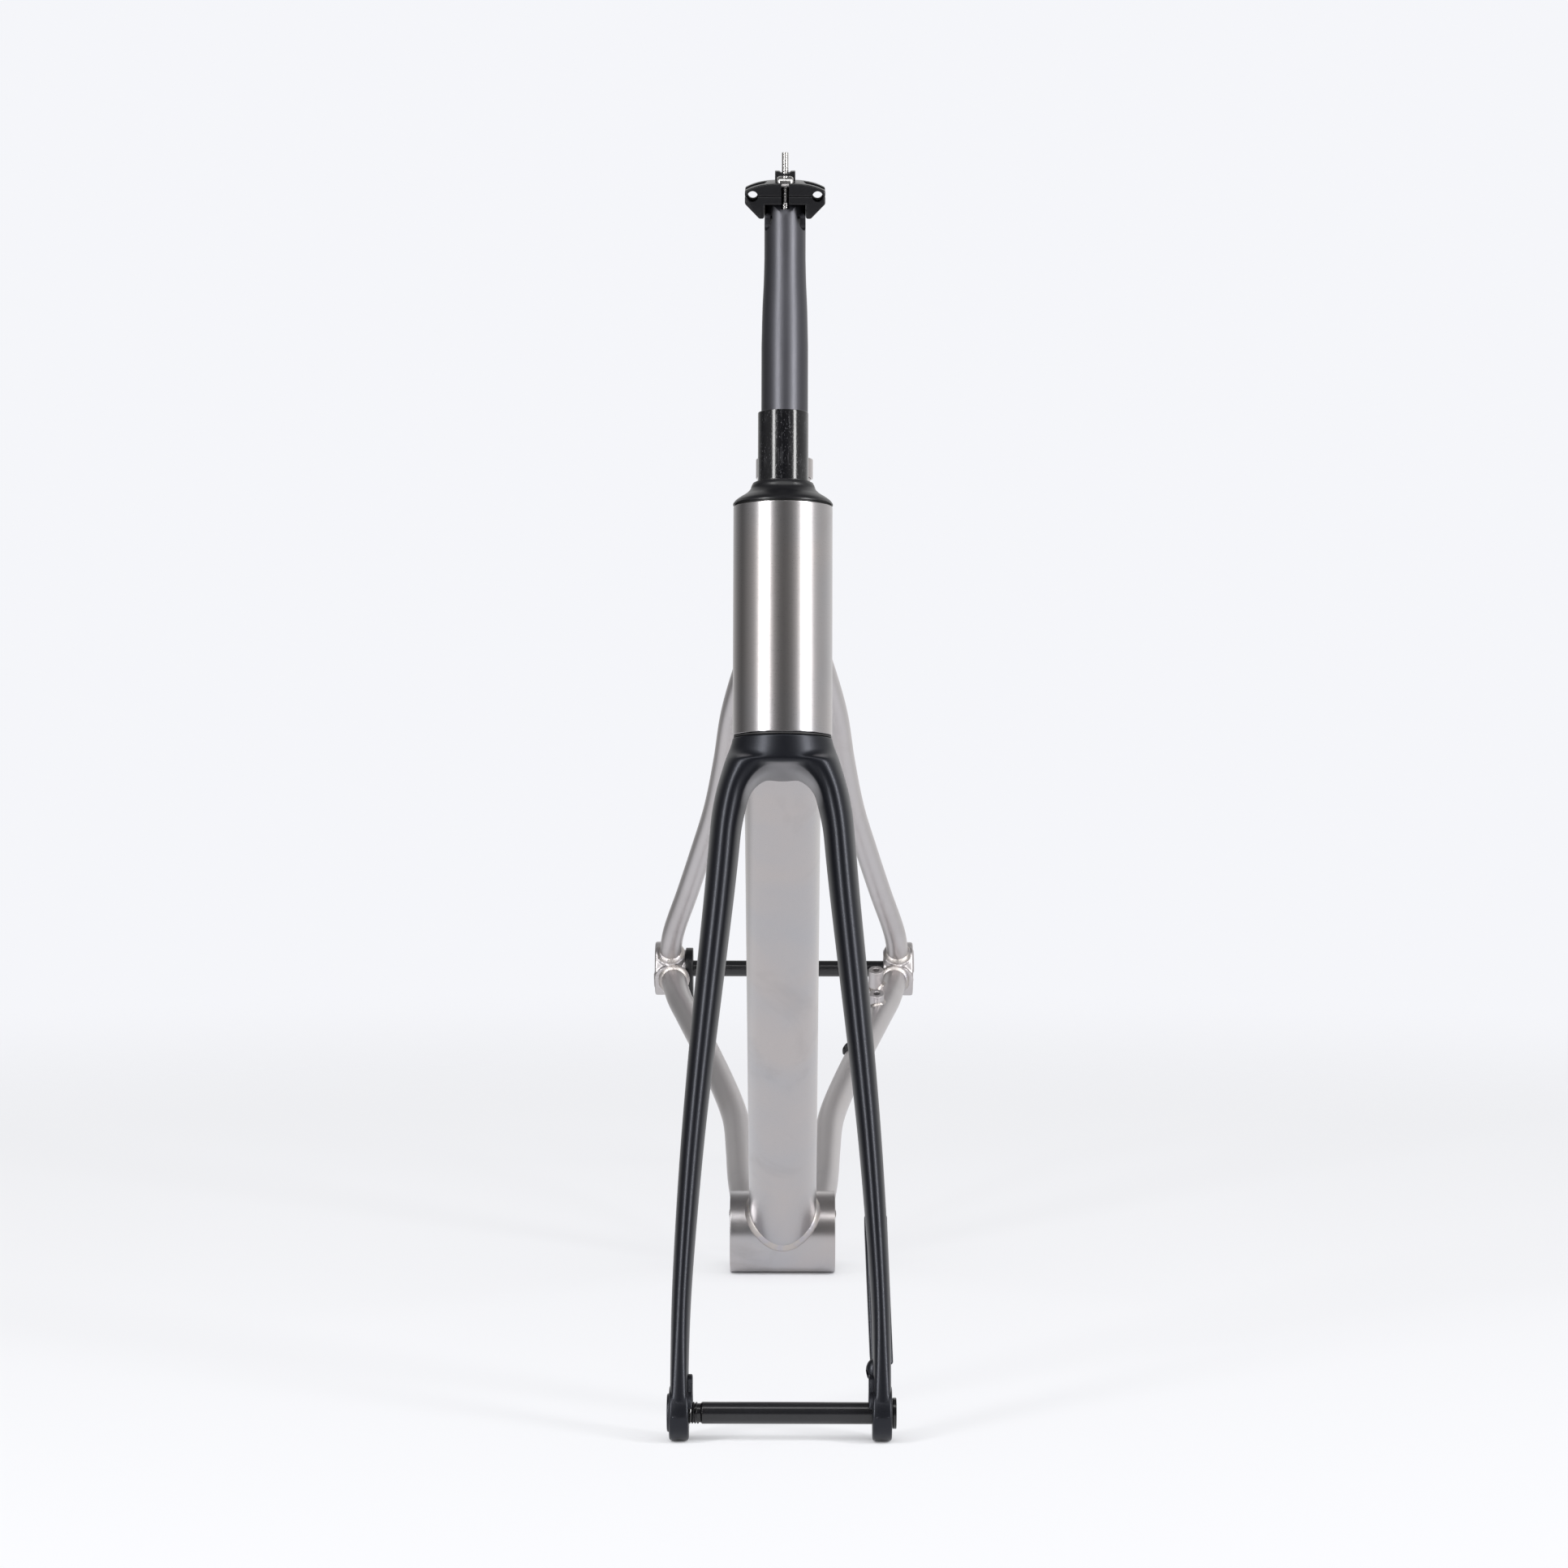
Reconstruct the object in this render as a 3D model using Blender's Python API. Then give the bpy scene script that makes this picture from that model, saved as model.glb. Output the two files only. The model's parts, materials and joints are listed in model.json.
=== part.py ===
"""Disc-brake road bike frameset: frame, fork, headset, seatpost and thru-axles.

Each axis of the bike is an empty, and pieces are drawn in the space of the axis that carries them.
In the riding pose the bottom bracket centre is the origin, +Y points to the rear, +Z up and +X to
the rider's left. The stance empty then tips the whole bike nose down onto its fork tips and shell.
"""
import math

import bmesh
import bpy
from mathutils import Matrix, Vector

MM = 0.001
GAP = 0.3 * MM                         # clearance between pieces that touch

# Facets round each tube. They differ, so that no two tubes' facet lines meet in a mitre
HEAD_FACETS = 32
DOWN_FACETS = 26
TOP_FACETS = 22
SEAT_FACETS = 30
SHELL_FACETS = 34
STAY_FACETS = 10
HEADSET_FACETS = 24                    # also the steerer, so that nested pieces keep their clearance

# Frame geometry, in the riding pose
HEAD_ANGLE = math.radians(73.0)
SEAT_ANGLE = math.radians(73.5)
FRONT_CENTRE = 575.0 * MM              # bottom bracket to front axle, along the ground
BRACKET_DROP = 77.0 * MM               # bottom bracket below the axles
CHAINSTAY_LENGTH = 418.0 * MM
FORK_RAKE = 45.0 * MM
FORK_LENGTH = 374.0 * MM               # front axle to crown, along the steering axis

# Tubes
HEAD_TUBE_LENGTH = 129.6 * MM
HEAD_TUBE_DIAMETER = 56.0 * MM
HEAD_TUBE_WALL = 3.6 * MM
DOWN_TUBE_DIAMETER = 44.5 * MM
DOWN_TUBE_START = 46.0 * MM            # above the head tube's lower end, on the steering axis
TOP_TUBE_DIAMETER = 35.0 * MM
TOP_TUBE_START = 31.0 * MM             # below the head tube's upper end
TOP_TUBE_END = 478.0 * MM              # up the seat tube
TUBE_WALL = 1.0 * MM
SEAT_TUBE_LENGTH = 520.6 * MM
SEAT_TUBE_WALL = 1.4 * MM
SEATSTAY_DIAMETER = 16.0 * MM
SEATSTAY_TOP = 445.0 * MM              # up the seat tube
CHAINSTAY_DIAMETER = 18.5 * MM
BRIDGE_DIAMETER = 12.0 * MM
SEATSTAY_BRIDGE_REACH = 364.0 * MM     # from the rear axle
CHAINSTAY_BRIDGE_REACH = CHAINSTAY_LENGTH - 66.0 * MM
HOSE_PORT_REACH = 150.0 * MM           # brake hose exit, ahead of the rear axle
SHELL_WIDTH = 70.0 * MM
SHELL_RADIUS = 27.0 * MM
SHELL_WALL = 3.5 * MM

# How far each stay has spread by a share of its length, as a share of the dropouts' half width
SEATSTAY_SPREAD = [(0.000, 0.1115), (0.115, 0.1702), (0.237, 0.3192), (0.350, 0.4296), (0.467, 0.4953),
                   (0.594, 0.5845), (0.711, 0.7077), (0.821, 0.8310), (0.936, 0.9648), (1.012, 1.0047)]
CHAINSTAY_SPREAD = [(0.000, 0.2700), (0.155, 0.3333), (0.271, 0.3568), (0.387, 0.3873), (0.490, 0.4648),
                    (0.658, 0.6338), (0.838, 0.8333), (0.908, 0.9096), (1.019, 0.9859)]

# Rear end
REAR_HUB_LENGTH = 142.0 * MM
DROPOUT_THICKNESS = 22.6 * MM
DROPOUT_RADIUS = 20.0 * MM
DROPOUT_PLATE = 8.0 * MM               # thickness of its outer plate
DROPOUT_BOSS_RADIUS = 14.0 * MM        # round the axle, over the whole thickness
HOOD_RADIUS = 11.0 * MM                # the hoods that the stays are welded to
HOOD_REACH = 20.0 * MM                 # from the axle to a hood's face
HANGER_THICKNESS = 5.5 * MM
HANGER_DROP = 28.0 * MM
HANGER_SETBACK = 7.0 * MM
HANGER_SCREW_DIAMETER = 3.0 * MM
BRAKE_FIRST_REACH = 44.0 * MM          # first brake boss, ahead of the rear axle
BRAKE_SPACING = 34.0 * MM              # between the two rear brake bosses
BRAKE_BOSS_X = 68.2 * MM
BRAKE_BOSS_DIAMETER = 11.0 * MM
BRAKE_BOSS_LENGTH = 15.0 * MM
REAR_BRAKE_HEIGHT = 20.0 * MM          # top faces above the chainstay's axis
FRONT_BRAKE_HEIGHT = 16.0 * MM
BRAKE_THREAD_DIAMETER = 5.0 * MM

# Bottle mounts
BOTTLE_SPACING = 64.0 * MM
BOTTLE_BOSS_DIAMETER = 11.0 * MM
BOTTLE_BOSS_HEIGHT = 1.8 * MM          # above the tube
BOTTLE_BOLT_DIAMETER = 5.0 * MM
DOWN_BOSS_START = 215.0 * MM           # first boss, up the down tube
SEAT_BOSS_START = 165.0 * MM           # first boss, up the seat tube

# Headset
BEARING_DIAMETER = 52.0 * MM
BEARING_HEIGHT = 7.0 * MM
BEARING_RECESS = 1.2 * MM              # from the head tube's end to its bearing
BALL_CIRCLE_RADIUS = 23.0 * MM
BALL_CAGE_DIAMETER = 1.1 * MM          # the wire ring that spaces the balls
BALL_DIAMETER = 3.2 * MM
BALL_CLEARANCE = 0.5 * MM              # to the floor of the races' grooves
BALL_COUNT = 12
CROWN_GAP = 1.6 * MM                   # between fork crown and head tube
COVER_HEIGHT = 13.8 * MM
COVER_LIP_DIAMETER = 56.4 * MM

# Fork
STEERER_DIAMETER = 28.6 * MM
STEERER_BASE_DIAMETER = 39.6 * MM
STEERER_WALL = 2.8 * MM
STEERER_LENGTH = 185.0 * MM            # crown to cut end
STEERER_SOCKET = 8.0 * MM              # depth of the steerer's seat in the crown
FRONT_HUB_LENGTH = 100.0 * MM
FORK_TIP_RADIUS = 15.0 * MM
FORK_TIP_WIDTH = 10.7 * MM
FORK_HALF_WIDTH = 60.3 * MM
HUB_CAP_RADIUS = 10.8 * MM             # the hub end cap that the lip guides
ARCH_TOP = 18.0 * MM                   # depth of the arch between the blades, below the crown
ARCH_SLOPE = 0.145                     # how much deeper it is towards the rear
ARCH_RADIUS = 20.0 * MM
ARCH_HALF_DEPTH = 22.0 * MM            # of the arch's underside, fore and aft
RING_POINTS = 18                       # round each section of a blade
BLADE_ROUNDNESS = 2.25                 # 2 gives elliptical sections, more gives squarer ones
BRAKE_PAD_START = FORK_LENGTH - 106.0 * MM   # upper end of the brake pad, below the crown
BRAKE_PAD_LENGTH = 78.0 * MM
BRAKE_PAD_REAR = 17.0 * MM             # pad face behind the blade's centre line
BRAKE_PAD_WIDTH = 12.6 * MM
BRAKE_BOLT_SPACING = 70.0 * MM
HOSE_EXIT_DEPTH = FORK_LENGTH - 23.0 * MM

# The fork's form: shares of FORK_LENGTH below the crown, and shares of the fork's half width.
# Half depths are shares of the crown's radius
BLADE_OUTER = [(0.0000, 0.4643), (0.0061, 0.4710), (0.0369, 0.5390), (0.0615, 0.5837), (0.0856, 0.6269),
               (0.1096, 0.6534), (0.1711, 0.6882), (0.2326, 0.7197), (0.2941, 0.7562), (0.3663, 0.7993),
               (0.4759, 0.8590), (0.5963, 0.9187), (0.7166, 0.9635), (0.8342, 0.9950), (0.9225, 1.0000),
               (1.0053, 0.9983)]
BLADE_INNER = [(0.0856, 0.3367), (0.1096, 0.3648), (0.1711, 0.3997), (0.2326, 0.4395), (0.2941, 0.4842),
               (0.3663, 0.5373), (0.4759, 0.6186), (0.5963, 0.7015), (0.7166, 0.7662), (0.8342, 0.8176),
               (0.9225, 0.8342), (1.0053, 0.8375)]
BLADE_HALF_DEPTH = [(0.0428, 0.9643), (0.1096, 0.8214), (0.2941, 0.6607), (0.5374, 0.5357),
                    (0.7861, 0.4464), (0.9358, 0.4286), (1.0053, 0.3929)]
BLADE_SECTIONS = [0.134, 0.198, 0.283, 0.396, 0.524, 0.658, 0.791, 0.914, 1.005]
# How far each section under the crown leans, in degrees, and its depth as a share of ARCH_TOP
CROWN_SECTIONS = [(15, 0.53), (32, 0.77), (50, 1.06), (68, 1.45), (86, 2.05)]

# Axles
AXLE_DIAMETER = 12.0 * MM
AXLE_BORE = 6.0 * MM
FRONT_AXLE_LENGTH = 122.0 * MM         # under the head
FRONT_AXLE_HEAD_DIAMETER = 17.0 * MM
FRONT_AXLE_HEAD_THICKNESS = 2.2 * MM
THREAD_LENGTH = 17.0 * MM
THREAD_DEPTH = 0.7 * MM
THREAD_INSERT_DIAMETER = 16.0 * MM
THREAD_INSERT_COVER = 1.6 * MM         # blade left outside the insert
AXLE_KEY = 6.0 * MM
REAR_AXLE_HEAD_DIAMETER = 18.0 * MM
REAR_AXLE_HEAD_THICKNESS = 6.0 * MM

# Seatpost and saddle clamp
POST_DIAMETER = 31.6 * MM
POST_WALL = 1.9 * MM
POST_FOOT = 330.0 * MM                 # lower end of the post, up the seat tube
POST_TAPER_START = 610.0 * MM
POST_TAPER_END = 652.0 * MM
NECK_DIAMETER = 28.0 * MM
CLAMP_PIVOT = 684.0 * MM               # centre that the clamp rocks about, up the seat tube
ROCKER_RADIUS = 13.5 * MM
RAIL_HEIGHT = 18.0 * MM                # rails above the pivot
RAIL_SPACING = 44.0 * MM
RAIL_DIAMETER = 7.0 * MM
CLAMP_LENGTH = 35.0 * MM               # along the rails
CLAMP_CREST = 26.7 * MM                # top of the upper clamp above the pivot
CLAMP_FALL = 5.0 * MM                  # from its crest to its ends
CLAMP_WIDTH = 54.4 * MM
CLAMP_BOLT_DIAMETER = 5.0 * MM
CLAMP_BOLT_OFFSET = 6.6 * MM           # ahead of and behind the pivot
CLAMP_BOLT_FOOT = -5.0 * MM
REAR_BOLT_TOP = 46.0 * MM
BARREL_DIAMETER = 8.0 * MM
BARREL_LENGTH = 20.0 * MM
WINDOW_HEIGHT = 11.6 * MM
FRONT_NUT_DIAMETER = 8.3 * MM
FRONT_NUT_WIDTH = 11.0 * MM
FRONT_NUT_HEIGHT = 26.8 * MM
REAR_NUT_WIDTH = 13.8 * MM
REAR_NUT_DEPTH = 9.0 * MM
REAR_NUT_HEIGHT = 6.4 * MM

# Seat collar
COLLAR_HEIGHT = 13.0 * MM
COLLAR_WALL = 1.5 * MM
COLLAR_EAR_REACH = 11.0 * MM
COLLAR_EAR_HALF = 9.0 * MM
COLLAR_BOLT_DIAMETER = 5.0 * MM
SLOT_WIDTH = 2.6 * MM

# Derived places on the bike's centre plane, as (y, z)
STEER_UP = Vector((0, math.cos(HEAD_ANGLE), math.sin(HEAD_ANGLE)))
STEER_BACK = Vector((0, math.sin(HEAD_ANGLE), -math.cos(HEAD_ANGLE)))
SEAT_UP = Vector((0, math.cos(SEAT_ANGLE), math.sin(SEAT_ANGLE)))
FRONT_AXLE = Vector((0, -FRONT_CENTRE, BRACKET_DROP))
REAR_AXLE = Vector((0, math.sqrt(CHAINSTAY_LENGTH ** 2 - BRACKET_DROP ** 2), BRACKET_DROP))
CROWN = FRONT_AXLE + FORK_RAKE * STEER_BACK + FORK_LENGTH * STEER_UP
HEAD_FOOT = CROWN_GAP
HEAD_TOP = CROWN_GAP + HEAD_TUBE_LENGTH
SEAT_TUBE_BORE = POST_DIAMETER + 2 * GAP
SEAT_TUBE_DIAMETER = SEAT_TUBE_BORE + 2 * SEAT_TUBE_WALL
AXLE_HOLE = AXLE_DIAMETER + 2 * GAP
HANGER_FACE = -(REAR_HUB_LENGTH - HANGER_THICKNESS - GAP) / 2
DROPOUT_INNER = REAR_HUB_LENGTH + HANGER_FACE
DROPOUT_OUTER = DROPOUT_INNER + DROPOUT_THICKNESS
DROPOUT_MIDDLE = (DROPOUT_INNER + DROPOUT_OUTER) / 2
BEARING_SEAT_DEPTH = BEARING_HEIGHT + BEARING_RECESS
REAR_NUT_BASE = CLAMP_CREST + GAP
HUB_HALF = FRONT_HUB_LENGTH / 2

# Colours of the finishes: base colour, roughness, metallic
TITANIUM = ((0.50, 0.47, 0.45), 0.36, 1.0)
CARBON = ((0.020, 0.021, 0.024), 0.42, 0.0)
GLOSS_CARBON = ((0.012, 0.012, 0.014), 0.22, 0.0)
BLACK_ALLOY = ((0.016, 0.016, 0.018), 0.38, 0.6)
SILVER = ((0.72, 0.70, 0.68), 0.25, 1.0)
BEARING_STEEL = ((0.62, 0.62, 0.62), 0.2, 1.0)
RUBBER = ((0.012, 0.012, 0.012), 0.75, 0.0)


def clear_scene():
    for obj in list(bpy.data.objects):
        bpy.data.objects.remove(obj)


def finish_material(name, finish):
    colour, roughness, metallic = finish
    material = bpy.data.materials.new(name)
    material.use_nodes = True
    shader = material.node_tree.nodes["Principled BSDF"]
    shader.inputs["Base Color"].default_value = (*colour, 1.0)
    shader.inputs["Roughness"].default_value = roughness
    shader.inputs["Metallic"].default_value = metallic
    return material


def empty(name, parent=None, location=(0, 0, 0), tilt=0.0):
    """An axis of the bike. A positive tilt turns it about +X."""
    axis = bpy.data.objects.new(name, None)
    axis.empty_display_size = 0.03
    bpy.context.collection.objects.link(axis)
    axis.parent = parent
    axis.location = location
    axis.rotation_euler = (tilt, 0, 0)
    return axis


def add_object(name, bm, parent, finish=None, place=None):
    """Link a bmesh as an object. Without a finish it is a cutter or a guide."""
    bmesh.ops.recalc_face_normals(bm, faces=bm.faces)
    mesh = bpy.data.meshes.new(name)
    bm.to_mesh(mesh)
    bm.free()
    mesh.shade_smooth()
    mesh.set_sharp_from_angle(angle=math.radians(32))
    obj = bpy.data.objects.new(name, mesh)
    bpy.context.collection.objects.link(obj)
    obj.parent = parent
    if place is not None:
        obj.matrix_local = place
    if finish is None:
        obj.hide_render = True
        obj.display_type = "WIRE"
    else:
        mesh.materials.append(finish_material(name, finish))
    return obj


def boolean(obj, other, operation):
    modifier = obj.modifiers.new(f"{operation.lower()}_{other.name}", "BOOLEAN")
    modifier.operation = operation
    modifier.solver = "EXACT"
    modifier.object = other


def cut(obj, *cutters):
    for cutter in cutters:
        boolean(obj, cutter, "DIFFERENCE")


def fuse(obj, *parts):
    for part in parts:
        boolean(obj, part, "UNION")


def along(start, end):
    """A place whose local Z runs from start to end, with local X kept near world X."""
    z = (end - start).normalized()
    x = Vector((1, 0, 0)) if abs(z.x) < 0.99 else Vector((0, 1, 0))
    x = (x - x.dot(z) * z).normalized()
    turn = Matrix((x, z.cross(x), z)).transposed().to_4x4()
    return Matrix.Translation(start) @ turn


def facing_x(location=(0, 0, 0)):
    """A place whose local Z is +X."""
    return Matrix.Translation(location) @ Matrix.Rotation(math.pi / 2, 4, "Y")


def revolve(profile, segments, closed=True):
    """Turn a profile of (radius, height) points about Z. A closed profile makes a ring."""
    bm = bmesh.new()
    rings = []
    for radius, height in profile:
        if radius < 1e-9:
            rings.append([bm.verts.new((0, 0, height))])
            continue
        rings.append([bm.verts.new((radius * math.cos(math.tau * i / segments),
                                    radius * math.sin(math.tau * i / segments), height))
                      for i in range(segments)])
    pairs = list(zip(rings, rings[1:]))
    if closed:
        pairs.append((rings[-1], rings[0]))
    for lower, upper in pairs:
        for i in range(segments):
            j = (i + 1) % segments
            corners = [lower[i % len(lower)], lower[j % len(lower)],
                       upper[j % len(upper)], upper[i % len(upper)]]
            unique = list(dict.fromkeys(corners))
            if len(unique) > 2:
                bm.faces.new(unique)
    return bm


def rod(radius, length, segments=24, start=0.0):
    return revolve([(0, start), (radius, start), (radius, start + length), (0, start + length)],
                   segments, closed=False)


def pipe(outer, inner, length, segments=32, start=0.0):
    return revolve([(outer, start), (outer, start + length), (inner, start + length), (inner, start)],
                   segments)


def prism(outline, start, end, axis="Z"):
    """Extrude an outline. Along Z its points are (x, y), along X (y, z), along Y (x, z)."""
    spots = {"Z": lambda a, b, h: (a, b, h), "X": lambda a, b, h: (h, a, b), "Y": lambda a, b, h: (a, h, b)}
    spot = spots[axis]
    bm = bmesh.new()
    lower = [bm.verts.new(spot(a, b, start)) for a, b in outline]
    upper = [bm.verts.new(spot(a, b, end)) for a, b in outline]
    bm.faces.new(lower)
    bm.faces.new(upper)
    for i in range(len(outline)):
        j = (i + 1) % len(outline)
        bm.faces.new((lower[i], lower[j], upper[j], upper[i]))
    return bm


def arc(centre, radius, start, end, count):
    """Points on an arc between two angles in degrees."""
    angles = [math.radians(start + (end - start) * i / (count - 1)) for i in range(count)]
    return [(centre[0] + radius * math.cos(a), centre[1] + radius * math.sin(a)) for a in angles]


def slot_outline(length, width, count=6):
    """A round-ended slot along the outline's second axis."""
    reach = (length - width) / 2
    return (arc((0, reach), width / 2, 0, 180, count) + arc((0, -reach), width / 2, 180, 360, count))


def hull_of_circles(circles, count=36):
    """The outline of a belt round circles given as (a, b, radius)."""
    points = [p for a, b, radius in circles for p in arc((a, b), radius, 0, 360, count + 1)[:-1]]
    points = sorted(points)

    def half(ordered):
        chain = []
        for p in ordered:
            while len(chain) > 1 and ((chain[-1][0] - chain[-2][0]) * (p[1] - chain[-2][1])
                                      <= (chain[-1][1] - chain[-2][1]) * (p[0] - chain[-2][0])):
                chain.pop()
            chain.append(p)
        return chain[:-1]

    return half(points) + half(points[::-1])


def bevel_edges(bm, width, segments=2, angle=40):
    edges = [e for e in bm.edges if e.calc_face_angle(0) > math.radians(angle)]
    bmesh.ops.bevel(bm, geom=edges, offset=width, segments=segments, affect="EDGES", profile=0.5)
    return bm


def smooth_curve(stations, at):
    """Smooth value at a place, through stations of (place, value) in order."""
    if at <= stations[0][0]:
        return stations[0][1]
    if at >= stations[-1][0]:
        return stations[-1][1]
    i = max(k for k in range(len(stations) - 1) if stations[k][0] <= at)
    (x0, y0), (x1, y1) = stations[i], stations[i + 1]

    def slope(k):
        a, b = max(k - 1, 0), min(k + 1, len(stations) - 1)
        return (stations[b][1] - stations[a][1]) / (stations[b][0] - stations[a][0])

    span, t = x1 - x0, (at - x0) / (x1 - x0)
    return ((2 * t ** 3 - 3 * t ** 2 + 1) * y0 + (t ** 3 - 2 * t ** 2 + t) * span * slope(i)
            + (3 * t ** 2 - 2 * t ** 3) * y1 + (t ** 3 - t ** 2) * span * slope(i + 1))


def bent_tube(path, radius, wall, segments=STAY_FACETS):
    """A hollow tube along a path of points, or a solid one where the wall is None."""
    frames = []
    side = Vector((1, 0, 0))
    for i, point in enumerate(path):
        ahead = (path[min(i + 1, len(path) - 1)] - path[max(i - 1, 0)]).normalized()
        side = (side - side.dot(ahead) * ahead).normalized()
        frames.append((point, side, ahead.cross(side)))
    bm = bmesh.new()

    def ring(frame, size):
        point, a, b = frame
        return [bm.verts.new(point + size * (math.cos(math.tau * i / segments) * a
                                             + math.sin(math.tau * i / segments) * b))
                for i in range(segments)]

    rings = [ring(frame, radius) for frame in frames]
    if wall is not None:
        rings += [ring(frame, radius - wall) for frame in reversed(frames)]
    pairs = list(zip(rings, rings[1:]))
    if wall is not None:
        pairs.append((rings[-1], rings[0]))
    else:
        bm.faces.new(rings[0])
        bm.faces.new(rings[-1])
    for lower, upper in pairs:
        for i in range(segments):
            j = (i + 1) % segments
            bm.faces.new((lower[i], lower[j], upper[j], upper[i]))
    return bm


def bolt_mesh(diameter, length, head_diameter, head_height, key, segments=16):
    """A socket-head bolt: the shank runs down from the origin and the head stands above it."""
    outer, shank, socket = head_diameter / 2, diameter / 2, key / math.sqrt(3)
    depth = head_height * 0.6
    return revolve([(0, -length), (shank, -length), (shank, 0), (outer, 0),
                    (outer, head_height * 0.8), (outer * 0.9, head_height), (socket, head_height),
                    (socket, head_height - depth), (0, head_height - depth)], segments, closed=False)


def screw_hole(diameter, depth, head_diameter, head_height):
    """A stepped cutter for a screw: the shank below the origin and the head's pocket above it."""
    return revolve([(0, -depth), (diameter / 2, -depth), (diameter / 2, 0), (head_diameter / 2, 0),
                    (head_diameter / 2, head_height), (0, head_height)], 16, closed=False)


def add_shell(target, shell):
    """Add a closed shell to a mesh of several, and free it."""
    mesh = bpy.data.meshes.new("shell")
    bmesh.ops.recalc_face_normals(shell, faces=shell.faces)
    shell.to_mesh(mesh)
    shell.free()
    target.from_mesh(mesh)
    bpy.data.meshes.remove(mesh)


def box_outline(a0, a1, b0, b1):
    """The corners of a rectangle between two pairs of values in any order."""
    a0, a1 = sorted((a0, a1))
    b0, b1 = sorted((b0, b1))
    return [(a0, b0), (a1, b0), (a1, b1), (a0, b1)]


# Axes

def make_axes():
    tip_rise = SHELL_RADIUS - FORK_TIP_RADIUS
    pitch = (math.asin(tip_rise / math.hypot(FRONT_CENTRE, BRACKET_DROP))
             + math.atan2(BRACKET_DROP, FRONT_CENTRE))
    axes = {"stance": empty("stance", tilt=pitch)}
    axes["steering"] = empty("steering_axis", axes["stance"], CROWN, HEAD_ANGLE - math.pi / 2)
    axes["cover"] = empty("cover_lift_axis", axes["steering"], (0, 0, HEAD_TOP))
    axle_place = (0, -FORK_RAKE, -FORK_LENGTH)
    axes["front_axle"] = empty("front_axle_axis", axes["steering"], axle_place)
    axes["rear_axle"] = empty("rear_axle_axis", axes["stance"], REAR_AXLE)
    axes["seat"] = empty("seatpost_axis", axes["stance"], (0, 0, 0), SEAT_ANGLE - math.pi / 2)
    axes["clamp"] = empty("clamp_tilt_axis", axes["seat"], (0, 0, CLAMP_PIVOT), math.pi / 2 - SEAT_ANGLE)
    return axes


# Frame

def head_tube(axes):
    outer = HEAD_TUBE_DIAMETER / 2
    seat = BEARING_DIAMETER / 2 + GAP
    depth = BEARING_SEAT_DEPTH
    inner = outer - HEAD_TUBE_WALL
    chamfer = 0.4 * MM
    profile = [(outer - chamfer, HEAD_FOOT), (outer, HEAD_FOOT + chamfer), (outer, HEAD_TOP - chamfer),
               (outer - chamfer, HEAD_TOP), (seat, HEAD_TOP), (seat, HEAD_TOP - depth),
               (inner, HEAD_TOP - depth), (inner, HEAD_FOOT + depth), (seat, HEAD_FOOT + depth),
               (seat, HEAD_FOOT)]
    return add_object("head_tube", revolve(profile, HEAD_FACETS), axes["steering"], TITANIUM)


def tube_guide(name, start, end, diameter, parent, segments):
    """The outside of a tube grown by the clearance, which its neighbours are mitred against."""
    length = (end - start).length
    return add_object(name, rod(diameter / 2 + GAP, length, segments), parent, place=along(start, end))


def straight_tube(name, start, end, diameter, wall, parent, segments):
    length = (end - start).length
    bm = pipe(diameter / 2, diameter / 2 - wall, length, segments)
    return add_object(name, bm, parent, TITANIUM, along(start, end))


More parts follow.
